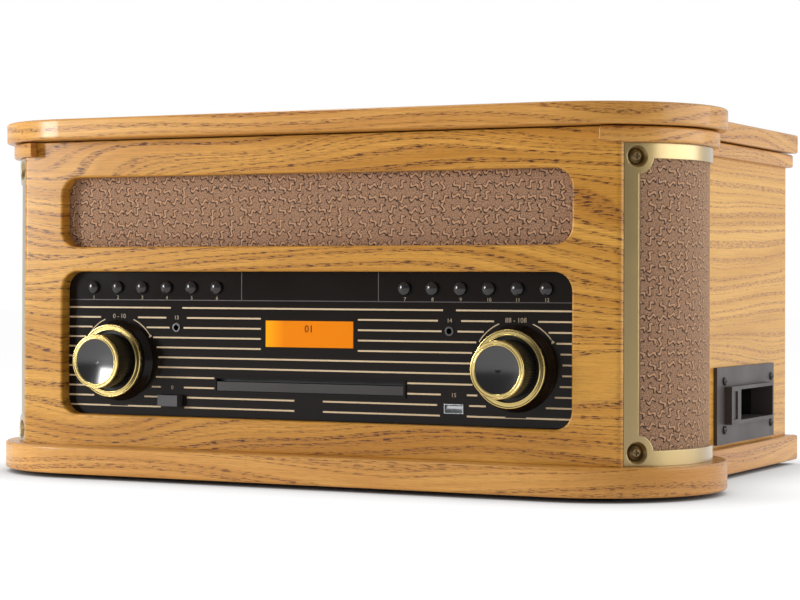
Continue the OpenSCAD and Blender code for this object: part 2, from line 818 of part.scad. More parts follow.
module usb_port() {
  color(steel) at_home() translate([port_x, face_t - 0.4, port_z]) rotate([-90, 0, 0]) difference() {
    union() {
      linear_extrude(usb_l) square([usb_w, usb_h], center = true);
      translate([0, 0, fascia_t + 0.4]) linear_extrude(1.2)
        square([usb_w + 5, usb_h + 4], center = true);
    }
    difference() {
      translate([0, 0, -1]) linear_extrude(12)
        square([usb_w - 2 * usb_wall, usb_h - 2 * usb_wall], center = true);
      // tongue that carries the contacts
      translate([-5.6, -1.95, 1.6]) cube([11.2, 1.9, 12]);
    }
  }
}

module circuit_boards() {
  board_t = 1.6;
  strip_y = fascia_back + switch_pin + button_travel + 0.2;
  strip_x = button_x + 5 * button_pitch + 16;
  strip_h = 18;
  post_x = [button_x - 10, strip_x - 6];
  main = [105, 150];
  main_at = [20.5 - inner_w / 2, inner_rear - 65 - main[1]];
  lift = 6;
  inset = 5;
  on_main = base_t + lift + board_t - 0.2;
  color("#2f5d3a") at_home() {
    // strip behind the push buttons
    translate([-strip_x, strip_y, button_z - strip_h / 2]) cube([2 * strip_x, board_t, strip_h]);
    for (x = post_x, s = [-1, 1]) translate([s * x, fascia_back, button_z])
      rotate([-90, 0, 0]) cylinder(r = 2.5, h = strip_y - fascia_back + 0.2);
    // main board on pillars, with its transformer, heat sink and capacitors
    translate([main_at[0], main_at[1], base_t + lift]) cube([main[0], main[1], board_t]);
    for (x = [inset, main[0] - inset], y = [inset, main[1] - inset])
      translate([main_at[0] + x, main_at[1] + y, base_t]) cylinder(r = 3, h = lift + 0.2);
    translate([main_at[0], main_at[1], on_main]) {
      translate([7, 85, 0]) cube([52, 44, 38]);
      for (i = [0 : 5]) translate([67 + i * 5, 20, 0]) cube([2, 40, 26]);
      translate([65, 20, 0]) cube([30, 40, 4]);
      for (y = [12, 30, 48]) translate([35, y, 0]) cylinder(r = 7, h = 22);
    }
  }
}

// tray with its front strip, the two disc recesses and the slot for the laser
module cd_tray() {
  front = face_t - 0.6;
  disc_y = front + 66;
  color(black) at_home() translate([0, 0, tray_z]) difference() {
    translate([-tray_w / 2, front, -tray_h / 2]) cube([tray_w, tray_l, tray_h]);
    translate([0, disc_y, tray_h / 2 - 2]) cylinder(r = 60.5, h = 5);
    translate([0, disc_y, tray_h / 2 - 3.2]) cylinder(r = 40.5, h = 5);
    translate([0, disc_y, -tray_h]) cylinder(r = 17, h = 2 * tray_h);
    translate([-17, disc_y, -tray_h]) cube([34, 56, 2 * tray_h]);
  }
}

module cd_mechanism() {
  w = tray_w + 14;
  color(grey) at_home() translate([0, fascia_back, tray_z]) {
    difference() {
      translate([-w / 2, 0, -16]) cube([w, tray_l + 8, 34]);
      translate([-tray_w / 2 - gap, -1, -tray_h / 2 - gap])
        cube([tray_w + 2 * gap, tray_l + 1, tray_h + 2 * gap]);
      // the front corners leave room for the port and the power button where they come near
      for (x = [-port_x, port_x]) translate([x, 0, port_z - tray_z])
        cube([max(usb_w + 5, power_w + 4) + 2 * gap, 2 * usb_l,
              max(usb_h + 4, power_h + 3) + 2 * gap], center = true);
    }
    for (x = [-1, 1], y = [12, tray_l - 6]) translate([x * (w / 2 - 6), y, base_t - tray_z])
      cylinder(r = 4, h = tray_z - base_t - 15.8);
  }
}

// moulded plate, the throat through the side board, and the collar round slot and eject button
module cassette_bezel() {
  throat_y = slot_w / 2 + throat_wall[0];
  color(grey) at_home() difference() {
    union() {
      translate([case_w / 2, bezel_y - bezel_w / 2, slot_z - bezel_h / 2])
        cube([plate_t, bezel_w, bezel_h]);
      translate([inner_w / 2 + 0.4, slot_y - throat_y, slot_z - collar_top])
        cube([wall + plate_t + collar_out - 0.4, 2 * throat_y, 2 * collar_top]);
      translate([case_w / 2, collar_y, slot_z - collar_top])
        cube([plate_t + collar_out, slot_y + throat_y - collar_y, 2 * collar_top]);
    }
    translate([inner_w / 2, slot_y - slot_w / 2, slot_z - slot_h / 2])
      cube([wall + plate_t + collar_out + 1, slot_w, slot_h]);
    translate([case_w / 2 - 1, eject_y - eject_w / 2 - gap, slot_z - eject_h / 2 - gap])
      cube([plate_t + collar_out + 2, eject_w + 2 * gap, eject_h + 2 * gap]);
    bezel_screw_holes();
  }
}

module at_bezel_screws() {
  for (y = [-1, 1], z = [-1, 1])
    translate([case_w / 2, screw_y + y * screw_dx, slot_z + z * screw_dz]) rotate([0, 90, 0]) children();
}

module bezel_screw_holes() {
  at_bezel_screws() translate([0, 0, -bezel_screw_l - 1])
    cylinder(r = 1.5 + seat, h = bezel_screw_l + plate_t + 2);
}

module cassette_screws() {
  color(black) at_home() at_bezel_screws() translate([0, 0, plate_t]) {
    cross_head(2.8, 1.6);
    translate([0, 0, -plate_t - bezel_screw_l]) cylinder(r = 1.5, h = plate_t + bezel_screw_l + 0.2);
  }
}

hub_r = 4;
hub_gap = 42.5;
cassette_l = 100.4;
slot_end = case_w / 2 + plate_t + collar_out - slot_d;  // inner end of the slot
hub_x = slot_end + cassette_l / 2;                      // middle of a loaded cassette

module cassette_deck() {
  deep = inner_w / 2 - slot_end + 2;
  color(grey) at_home() difference() {
    translate([inner_w / 2 - deep, slot_y - slot_w / 2 - throat_wall[0], base_t])
      cube([deep - 0.2, slot_w + 2 * throat_wall[0], slot_z - base_t + slot_h / 2 + 8]);
    translate([inner_w / 2 - deep + 2, slot_y - slot_w / 2, slot_z - slot_h / 2])
      cube([deep, slot_w, slot_h]);
    for (s = [-1, 1]) translate([hub_x + s * hub_gap / 2, slot_y, slot_z - slot_h / 2 - 8])
      cylinder(r = hub_r + slip, h = 9);
  }
}

module tape_hub(side) {
  color("white") at_home() translate([hub_x + side * hub_gap / 2, slot_y, slot_z - slot_h / 2 - 7.8]) {
    cylinder(r = hub_r, h = 4);
    cylinder(r = 2.2, h = 7.4);
    for (a = [0, 120, 240]) rotate([0, 0, a]) translate([0, -0.5, 0]) cube([3.8, 1, 7.2]);
  }
}

module supply_hub() { tape_hub(1); }
module takeup_hub() { tape_hub(-1); }

// its face lies a little below the collar's
module eject_button() {
  color(black) at_home() translate([inner_w / 2 - 1, eject_y - eject_w / 2, slot_z - eject_h / 2])
    cube([wall + plate_t + collar_out, eject_w, eject_h]);
}

module deck_plate() {
  color("#252322") at_home() difference() {
    union() {
      translate([-inner_w / 2 + seat, deck_front, deck_z - deck_t])
        cube([inner_w - 2 * seat, inner_rear - deck_front - seat, deck_t]);
      translate([-spindle_x, spindle_y, well_z - deck_t]) cylinder(r = well_r + 3, h = 4 + deck_t);
      translate([-spindle_x, spindle_y, well_z - 22]) cylinder(r = 9, h = 20);
      translate([arm_x, arm_y, deck_z - 12]) cylinder(r = 9, h = 12);
    }
    translate([-spindle_x, spindle_y, well_z]) cylinder(r = well_r, h = 10);
    translate([-spindle_x, spindle_y, well_z - 24]) cylinder(r = journal_r + slip, h = 30);
    translate([pulley_x, pulley_y, well_z - deck_t - 1]) cylinder(r = 7, h = deck_t + 2);
    translate([speed_x - 2.4, speed_y - 10.5, deck_z - deck_t - 1]) cube([4.8, 21, deck_t + 2]);
    // rebate that seats the tonearm's base
    translate([arm_x, arm_y, deck_z - 1]) cylinder(r = arm_base_r + seat, h = 2);
  }
}

speed_x = arm_x + 40;
speed_y = deck_front + 46;
arm_base_r = 17;

// rim, drive ring and hub turned as one piece; the boss ends flush with the mat
module platter() {
  color(steel) at_home() translate([-spindle_x, spindle_y, platter_z]) {
    rotate_extrude() difference() {
      union() {
        translate([0, 9.5]) square([platter_r - 1, 3]);
        translate([platter_r - 3, 0]) square([3, 11.5]);
        translate([platter_r - 1, 11.5]) circle(1);
        translate([drive_r - 3, 2]) square([3, 8]);
        translate([0, hub_lift]) square([10, 10 - hub_lift]);
        translate([0, 12]) square([spindle_r + mat_boss, mat_t + 0.5]);
      }
      square([journal_r + seat, 20]);
    }
    spindle();
  }
}

// bearing journal, lip that the hub stands on, and above the mat the pin that centres the record
module spindle() {
  mat_top = 12.5 + mat_t;
  pin_l = 12.5;
  rotate_extrude() {
    translate([0, -23]) square([journal_r, mat_top + 24]);
    square([journal_r + 1.6, hub_lift - seat]);
    translate([0, mat_top + slip]) square([spindle_r, pin_l - slip]);
    translate([0, mat_top + pin_l - 0.1]) square([spindle_r - 1.2, 1.2]);
  }
}

module platter_mat() {
  color("#3a3634") at_home() translate([-spindle_x, spindle_y, platter_top]) rotate_extrude()
    difference() {
      translate([spindle_r + mat_boss + 0.2, 0]) square([platter_r - 3 - spindle_r, mat_t]);
      for (r = [34 : 8 : platter_r - 12]) translate([r, mat_t - 0.6]) square([5, 1]);
    }
}

module motor_pulley() {
  color(brass) at_home() translate([pulley_x, pulley_y, 0]) {
    translate([0, 0, well_z + 1.6]) cylinder(r = pulley_r + 1, h = 1);
    translate([0, 0, well_z + 2.4]) cylinder(r = pulley_r, h = 6);
    translate([0, 0, well_z + 8.2]) cylinder(r = pulley_r + 1, h = 1);
    translate([0, 0, well_z - 12]) cylinder(r = motor_shaft_r, h = 14);
  }
}

module drive_belt() {
  color(black) at_home() translate([0, 0, well_z + 4]) linear_extrude(3.6) difference() {
    belt_loop(1.2);
    belt_loop(0);
  }
}

module belt_loop(t) {
  hull() {
    translate([-spindle_x, spindle_y]) circle(drive_r + gap + t);
    translate([pulley_x, pulley_y]) circle(pulley_r + gap + t, $fn = 32);
  }
}

module turntable_motor() {
  motor_r = 16;
  motor_h = 24;
  ear_t = 2;
  color(steel) at_home() translate([pulley_x, pulley_y, well_z - deck_t - motor_h]) difference() {
    union() {
      cylinder(r = motor_r, h = motor_h);
      for (a = [0, 180]) rotate([0, 0, a]) translate([motor_r - 2, -5, motor_h - ear_t])
        cube([12, 10, ear_t]);
    }
    translate([0, 0, 10]) cylinder(r = motor_shaft_r + slip, h = motor_h);
  }
}

rest_ahead = 150;                         // arm rest ahead of the pivot
rest_y = arm_y - rest_ahead;
motor_shaft_r = 1;

// pivot housing and arm rest, both seated on the deck plate
module arm_mounts() {
  color(black) at_home() {
    translate([arm_x, arm_y, deck_z - 1]) difference() {
      union() {
        cylinder(r = arm_base_r, h = 4);
        cylinder(r = 11, h = 11.5);
      }
      translate([0, 0, 1]) cylinder(r = shaft_r + slip, h = 20);
    }
    translate([arm_x + 1, rest_y, deck_z]) {
      cylinder(r = 7, h = 2);
      translate([-3, -3, 0]) cube([6, 6, arm_axis_z - arm_tube_r - deck_z - gap]);
      translate([-6, -4, arm_axis_z - arm_tube_r - deck_z - gap - 3]) cube([14, 8, 3]);
      translate([arm_tube_r + 0.6, -4, arm_axis_z - arm_tube_r - deck_z - gap - 1]) cube([2, 8, 7]);
    }
    // bracket of the cue lever
    for (x = [arm_x + 17.5, arm_x + 27.5]) translate([x, arm_y - 34, deck_z]) difference() {
      cube([2.5, 12, 14]);
      translate([-1, 6, 9]) rotate([0, 90, 0]) cylinder(r = 2 + slip, h = 5);
    }
  }
}

module arm_gimbal() {
  ear_z = deck_z + 13.4;
  color(steel) at_home() translate([arm_x, arm_y, 0]) {
    translate([0, 0, deck_z + 0.4]) cylinder(r = shaft_r, h = 12);
    translate([0, 0, deck_z + 10.9]) cylinder(r = 10.5, h = 2.6);
    for (x = [-10.5, 8]) difference() {
      translate([x, -4, ear_z - 0.2]) cube([2.5, 8, arm_axis_z - ear_z + 4]);
      translate([x - 1, 0, arm_axis_z]) rotate([0, 90, 0]) cylinder(r = 1.5 + slip, h = 5);
    }
  }
}

// tube, pivot block, weight and headshell; the head is turned in towards the record
module tonearm() {
  head_y = -arm_l + 20;
  color(black) at_home() translate([arm_x, arm_y, arm_axis_z]) {
    translate([-6.5, -9, -6]) cube([13, 18, 12]);
    translate([-9.8, 0, 0]) rotate([0, 90, 0]) cylinder(r = 1.5, h = 19.6);
    rotate([90, 0, 0]) cylinder(r = arm_tube_r, h = arm_l - 24);
    // weight, far enough behind the pivot to clear it when the arm is lifted
    translate([0, 33, 0]) rotate([90, 0, 0]) cylinder(r = 10, h = 20);
    translate([0, 34, 0]) rotate([90, 0, 0]) cylinder(r = 7, h = 27);
    translate([0, head_y, 0]) rotate([0, 0, -head_a]) {
      translate([-8, -30, -2.5]) cube([16, 34, 3.5]);
      translate([-8, -30, -6]) cube([1.5, 30, 5]);
      translate([6.5, -30, -6]) cube([1.5, 30, 5]);
      translate([8, -27, -1]) rotate([0, -20, 0]) cube([9, 4, 1.2]);
    }
  }
}

module cartridge() {
  head_y = -arm_l + 20;
  low = stylus_z - arm_axis_z;
  color("#8c2f24") at_home() translate([arm_x, arm_y + head_y, arm_axis_z]) rotate([0, 0, -head_a]) {
    translate([-6.2, -27, low + 2.2]) cube([12.4, 24, -2.6 - low - 2.2]);
    translate([-2, -22.5, low + 1]) cube([4, 12, 2]);
    translate([0, -20.6, low]) cylinder(r1 = 0.25, r2 = 1, h = 1.2);
  }
}

module cue_lever() {
  color(steel) at_home() translate([arm_x, arm_y - 28, deck_z + 9]) {
    translate([17.6, 0, 0]) rotate([0, 90, 0]) cylinder(r = 2, h = 12.3);
    translate([20.6, 0, 0]) rotate([0, 90, 0]) cylinder(r = 4.5, h = 6.4);
    translate([21.8, -40, -1.5]) cube([4, 38, 3]);
    translate([23.8, -40, 0]) rotate([0, 90, 0]) translate([0, 0, -3]) cylinder(r = 3.4, h = 6);
  }
}

module speed_switch() {
  color(steel) at_home() translate([speed_x, speed_y - 8, deck_z]) {
    translate([-2, -2, -deck_t - 3]) cube([4, 4, deck_t + 4]);
    translate([-4.5, -2.4, gap]) cube([9, 4.8, 5]);
    translate([-4, -4, -deck_t - 3]) cube([8, 8, 2.4]);
  }
}

// figure-of-eight power inlet and a pair of line sockets in the rear board
rear_z = 48;
inlet_x = 55.5 - inner_w / 2;
line_x = inlet_x + 55;
line_pitch = 16;
line_bay = [36, 20];
inner_side = [-line_pitch / 2, line_pitch / 2];

module rear_socket_holes() {
  translate([inlet_x, case_d + 1, rear_z]) rotate([90, 0, 0]) linear_extrude(wall + 2)
    rounded_plan(24 + 2 * seat, 13 + 2 * seat, 4);
  translate([line_x, case_d + 1, rear_z]) rotate([90, 0, 0]) linear_extrude(wall + 2)
    rounded_plan(line_bay[0], line_bay[1], 4);
}

module rear_sockets() {
  color(black) at_home() {
    difference() {
      union() {
        translate([inlet_x, case_d, rear_z]) rotate([90, 0, 0]) linear_extrude(wall + 6)
          rounded_plan(24, 13, 4);
        translate([inlet_x - 16, case_d, rear_z - 9]) cube([32, 1.5, 18]);
      }
      translate([inlet_x, case_d + 2, rear_z]) rotate([90, 0, 0]) linear_extrude(14)
        rounded_plan(17.4, 8.8, 4.3);
    }
    for (s = [-1, 1]) translate([inlet_x + s * 4.3, case_d - 1, rear_z]) rotate([90, 0, 0])
      cylinder(r = 1.2, h = 12);
    // plate behind the bay, with the two sockets standing on it
    translate([line_x, inner_rear, rear_z]) difference() {
      union() {
        translate([-line_bay[0] / 2 - 3, -1.5, -line_bay[1] / 2 - 3])
          cube([line_bay[0] + 6, 1.5, line_bay[1] + 6]);
        for (x = inner_side) translate([x, 8, 0]) rotate([90, 0, 0]) cylinder(r = 4.15, h = 14);
      }
      for (x = inner_side) translate([x, 9, 0]) rotate([90, 0, 0]) cylinder(r = 1.7, h = 9);
    }
  }
}

base_board();
feet();
front_panel();
side_panels();
rear_panel();
top_mouldings();
lid_board();
lid_hardware_fixed();
lid_hardware_moving();
lid_stay();
column_frames();
column_cloths();
column_formers();
column_screws();
speakers();
grille_cloth();
fascia();
display_lens();
volume_knob();
volume_rings();
tuning_knob();
tuning_rings();
rotary_controls();
power_button();
audio_jacks();
usb_port();
button_1();
button_2();
button_3();
button_4();
button_5();
button_6();
button_7();
button_8();
button_9();
button_10();
button_11();
button_12();
circuit_boards();
cd_tray();
cd_mechanism();
cassette_bezel();
cassette_screws();
cassette_deck();
eject_button();
supply_hub();
takeup_hub();
deck_plate();
platter();
platter_mat();
motor_pulley();
drive_belt();
turntable_motor();
arm_mounts();
arm_gimbal();
tonearm();
cartridge();
cue_lever();
speed_switch();
rear_sockets();
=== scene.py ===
# %% [markdown]
# # A wooden music centre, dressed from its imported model
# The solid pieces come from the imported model, already at their real size and place. This script
# gives each of them the finish of the real thing, and models what is too thin or too soft for
# solid modelling: the printed lines on the control panel, its numbers, and the two kinds of cloth.

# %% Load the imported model
import math

import bpy
from mathutils import Matrix, Vector


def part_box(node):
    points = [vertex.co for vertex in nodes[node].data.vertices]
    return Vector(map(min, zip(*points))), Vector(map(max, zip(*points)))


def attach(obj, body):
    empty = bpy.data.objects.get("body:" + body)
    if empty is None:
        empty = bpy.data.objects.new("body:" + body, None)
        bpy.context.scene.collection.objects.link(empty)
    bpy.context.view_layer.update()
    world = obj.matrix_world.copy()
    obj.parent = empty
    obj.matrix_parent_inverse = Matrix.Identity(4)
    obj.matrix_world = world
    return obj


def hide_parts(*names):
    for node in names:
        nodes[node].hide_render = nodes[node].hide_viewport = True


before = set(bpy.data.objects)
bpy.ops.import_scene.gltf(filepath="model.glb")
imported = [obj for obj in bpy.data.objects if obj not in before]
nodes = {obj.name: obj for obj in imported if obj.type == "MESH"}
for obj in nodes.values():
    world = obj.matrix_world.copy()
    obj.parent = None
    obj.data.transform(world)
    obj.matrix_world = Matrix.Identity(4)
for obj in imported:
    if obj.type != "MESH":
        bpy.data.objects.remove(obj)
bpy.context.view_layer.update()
MM = 0.001
print("pieces in the model:", len(nodes))

# %% [markdown]
# ## Where things are
# A few planes and axes are read from the solid pieces, so that every printed line and every cloth
# lies on what carries it. The front board's face, the control panel's face behind it and the
# underside of the base are the three that the rest is measured from.

# %% Reference planes
face_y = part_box("front_panel")[0][1]
panel_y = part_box("front_panel")[1][1]
base_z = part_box("base_board")[0][2]


def middle(node_name):
    low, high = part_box(node_name)
    return (Vector(low) + Vector(high)) / 2


print(f"control panel's face is {1000 * (panel_y - face_y):.1f} mm behind the front board's face")

# %% [markdown]
# ## The camera
# The photograph was taken from the front right, a little below the middle of the cabinet, with a
# long lens. A camera set level and shifted keeps upright edges upright, as the photographer's did.
# The place and angles below were measured from the straight edges in the photograph.

# %% Camera
camera_place = Vector((706.8, -1426.1, 129.8)) * MM
camera_turn = math.radians(26.72)
camera_tilt = math.radians(0.45)
camera_roll = math.radians(0.18)

camera_data = bpy.data.cameras.new("camera")
camera_data.lens = 102.36
camera_data.sensor_width = 36
camera_data.shift_y = -0.0429
camera = bpy.data.objects.new("camera", camera_data)
camera.matrix_world = (
    Matrix.Translation(camera_place)
    @ Matrix.Rotation(camera_turn, 4, "Z")
    @ Matrix.Rotation(math.radians(90) + camera_tilt, 4, "X")
    @ Matrix.Rotation(camera_roll, 4, "Z")
)
bpy.context.collection.objects.link(camera)
bpy.context.scene.camera = camera
print("camera is", round(camera_place.length, 2), "m from the middle of the floor under the cabinet")

# %% [markdown]
# ## Floor, walls of light and lamps
# A product photograph is lit by large soft lamps and stands on a white sweep. A broad lamp at the
# front left lights the front board, a large one at the right fills the side and gives the columns
# their broad highlight, and a strip above draws the bright lines on the rounded window edges.

# %% Functions for colours, nodes and kinds of ray
def colour(hex_value):
    """sRGB hex, as picked from a photograph, to the linear numbers that shaders use."""
    channels = [int(hex_value[i:i + 2], 16) / 255 for i in (1, 3, 5)]
    linear = [c / 12.92 if c <= 0.04045 else ((c + 0.055) / 1.055) ** 2.4 for c in channels]
    return (*linear, 1.0)


def add(tree, kind, settings=None, links=None):
    """One node with its settings, and its inputs set to values or joined to other sockets."""
    made = tree.nodes.new("ShaderNode" + kind)
    for name, value in (settings or {}).items():
        setattr(made, name, value)
    for name, value in (links or {}).items():
        socket = made.inputs[name]
        if isinstance(value, bpy.types.NodeSocket):
            tree.links.new(value, socket)
        else:
            socket.default_value = value
    return made


def ray_masks(tree):
    """Rays that look, straight or through a piece, and those together with mirrored ones."""
    ray = add(tree, "LightPath")
    looked_at = add(tree, "Math", {"operation": "MAXIMUM"},
                    {0: ray.outputs["Is Camera Ray"], 1: ray.outputs["Is Transmission Ray"]})
    mirrored = add(tree, "Math", {"operation": "MAXIMUM"},
                   {0: looked_at.outputs[0], 1: ray.outputs["Is Glossy Ray"]})
    return looked_at.outputs[0], mirrored.outputs[0]


print("golden oak is", [round(c, 3) for c in colour("#D2A04E")])

# %% World light
# The camera, and whatever looks through a piece, sees a white room. Mirrors see it too, but the
# half of the room behind the camera is darker, which gives metal and gloss their soft gradients.
world = bpy.data.worlds.new("studio")
bpy.context.scene.world = world
world.use_nodes = True
tree = world.node_tree
plain_light = tree.nodes["Background"]
plain_light.inputs["Color"].default_value = colour("#FFFFFF")
plain_light.inputs["Strength"].default_value = 0.42
looked_at, mirrored = ray_masks(tree)
towards = add(tree, "SeparateXYZ", links={0: add(tree, "TexCoord").outputs["Generated"]})
room = add(tree, "MapRange", {"interpolation_type": "SMOOTHSTEP"},
           {"Value": towards.outputs["Y"], "From Min": -0.6, "From Max": 0.35,
            "To Min": 0.2, "To Max": 0.9})
seen_strength = add(tree, "Mix", {"data_type": "FLOAT"},
                    {0: looked_at, 2: room.outputs[0], 3: 1.0})
white_room = add(tree, "Background", links={"Color": colour("#FFFFFF"),
                                            "Strength": seen_strength.outputs[0]})
either = add(tree, "MixShader", links={0: mirrored, 1: plain_light.outputs[0],
                                       2: white_room.outputs[0]})
tree.links.new(either.outputs[0], tree.nodes["World Output"].inputs["Surface"])
bpy.context.scene.view_settings.view_transform = "Standard"
print("world strength", plain_light.inputs["Strength"].default_value)


# %% Lamps
def soft_lamp(name, place, target, width, height, power):
    data = bpy.data.lights.new(name, "AREA")
    data.shape = "RECTANGLE"
    data.size = width
    data.size_y = height
    data.energy = power
    lamp = bpy.data.objects.new(name, data)
    lamp.location = place
    lamp.rotation_euler = (Vector(target) - Vector(place)).to_track_quat("-Z", "Y").to_euler()
    bpy.context.collection.objects.link(lamp)
    return lamp


soft_lamp("lamp_front_left", (-1.25, -1.2, 0.4), (0, 0, 0.08), 0.45, 0.5, 16)
soft_lamp("lamp_right", (1.5, 0.36, 0.42), (0.2, -0.05, 0.12), 1.5, 1.0, 12)
soft_lamp("lamp_above", (-0.6, -0.15, 1.4), (0, -0.05, 0.15), 1.3, 0.16, 7)

# %% Floor
# The sweep is matt white. Where it is looked at, most of it is plain white, so that it meets the
# room without a line. Near the cabinet that white is darkened by ambient occlusion, a painted
# shade for the light that is shut out there, and the rest of it takes the cast shadow.
bpy.ops.object.select_all(action="DESELECT")
bpy.ops.mesh.primitive_plane_add(size=14, location=(0, 0, 0))
floor = bpy.context.object
floor.name = "floor"
floor_paint = bpy.data.materials.new("white_sweep")
floor_paint.use_nodes = True
tree = floor_paint.node_tree
surface = tree.nodes["Principled BSDF"]
surface.inputs["Base Color"].default_value = colour("#FFFFFF")
surface.inputs["Roughness"].default_value = 0.8
surface.inputs["Specular IOR Level"].default_value = 0.0
looked_at, mirrored = ray_masks(tree)
share = add(tree, "Math", {"operation": "MULTIPLY"}, {0: mirrored, 1: 0.8})
# painted contact shade: the emitted white is darkened by ambient occlusion near the cabinet
shut_out = add(tree, "AmbientOcclusion", {"samples": 8}, {"Distance": 0.07})
white_level_with_painted_shade = add(tree, "Math", {"operation": "MULTIPLY"}, {0: shut_out.outputs["AO"], 1: 1.12})
plain_white_with_painted_shade = add(tree, "Emission", links={"Color": colour("#FFFFFF"),
                                           "Strength": white_level_with_painted_shade.outputs[0]})
sweep = add(tree, "MixShader", links={0: share.outputs[0], 1: surface.outputs[0],
                                      2: plain_white_with_painted_shade.outputs[0]})
tree.links.new(sweep.outputs[0], tree.nodes["Material Output"].inputs["Surface"])
floor.data.materials.append(floor_paint)
print("floor spans", [round(v, 1) for v in floor.dimensions])

# %% [markdown]
# ## Oak veneer
# The cabinet is board wrapped in oak veneer and sprayed with satin lacquer. Veneer is a thin sheet,
# so its figure is flat: it runs along the front, round the lobes and back along the sides, and only
# on top does it run straight across. Two coordinates are worked out for that, one along the grain
# and one across it.
#
# A veneer's figure is a cut through growth rings. The distance across the grain, bent by a slow
# noise, stands for the depth in the log: where the bend is steep the rings close into the arches of
# flat-sawn oak. Each ring starts with a band of open pores, which show as short dark dashes.

# %% Oak veneer
ring_pitch = 4.5 * MM
pore_length = 7 * MM


def make_material(name):
    material = bpy.data.materials.new(name)
    material.use_nodes = True
    shader = material.node_tree.nodes["Principled BSDF"]
    return material, material.node_tree, shader


def grain_coordinates(tree):
    """Along and across the grain, in metres, wrapped round upright faces and flat on top."""
    place = add(tree, "TexCoord")
    at = add(tree, "SeparateXYZ", links={0: place.outputs["Object"]})
    facing = add(tree, "SeparateXYZ", links={0: place.outputs["Normal"]})
    level = add(tree, "Math", {"operation": "ABSOLUTE"}, {0: facing.outputs["Z"]})
    upright = add(tree, "MapRange", links={"Value": level.outputs[0], "From Min": 0.55,
                                           "From Max": 0.85, "To Min": 1.0, "To Max": 0.0})
    side = add(tree, "MapRange", links={"Value": at.outputs["X"], "From Min": -0.15,
                                        "From Max": 0.15, "To Min": -1.0, "To Max": 1.0})
    depth = add(tree, "Math", {"operation": "SUBTRACT"}, {0: at.outputs["Y"], 1: face_y})
    round_corner = add(tree, "Math", {"operation": "MULTIPLY"},
                       {0: depth.outputs[0], 1: side.outputs[0]})
    wrapped = add(tree, "Math", {"operation": "MULTIPLY"},
                  {0: round_corner.outputs[0], 1: upright.outputs[0]})
    along = add(tree, "Math", {"operation": "ADD"}, {0: at.outputs["X"], 1: wrapped.outputs[0]})
    across = add(tree, "Mix", {"data_type": "FLOAT"}, {0: upright.outputs[0],
                                                       2: at.outputs["Y"], 3: at.outputs["Z"]})
    return along.outputs[0], across.outputs[0]


def stretched(tree, along, across, length, width):
    """The grain coordinates scaled so that one unit is a mark of this length and width."""
    scale_along = add(tree, "Math", {"operation": "DIVIDE"}, {0: along, 1: length})
    scale_across = add(tree, "Math", {"operation": "DIVIDE"}, {0: across, 1: width})
    return add(tree, "CombineXYZ", links={0: scale_along.outputs[0],
                                          1: scale_across.outputs[0]}).outputs[0]


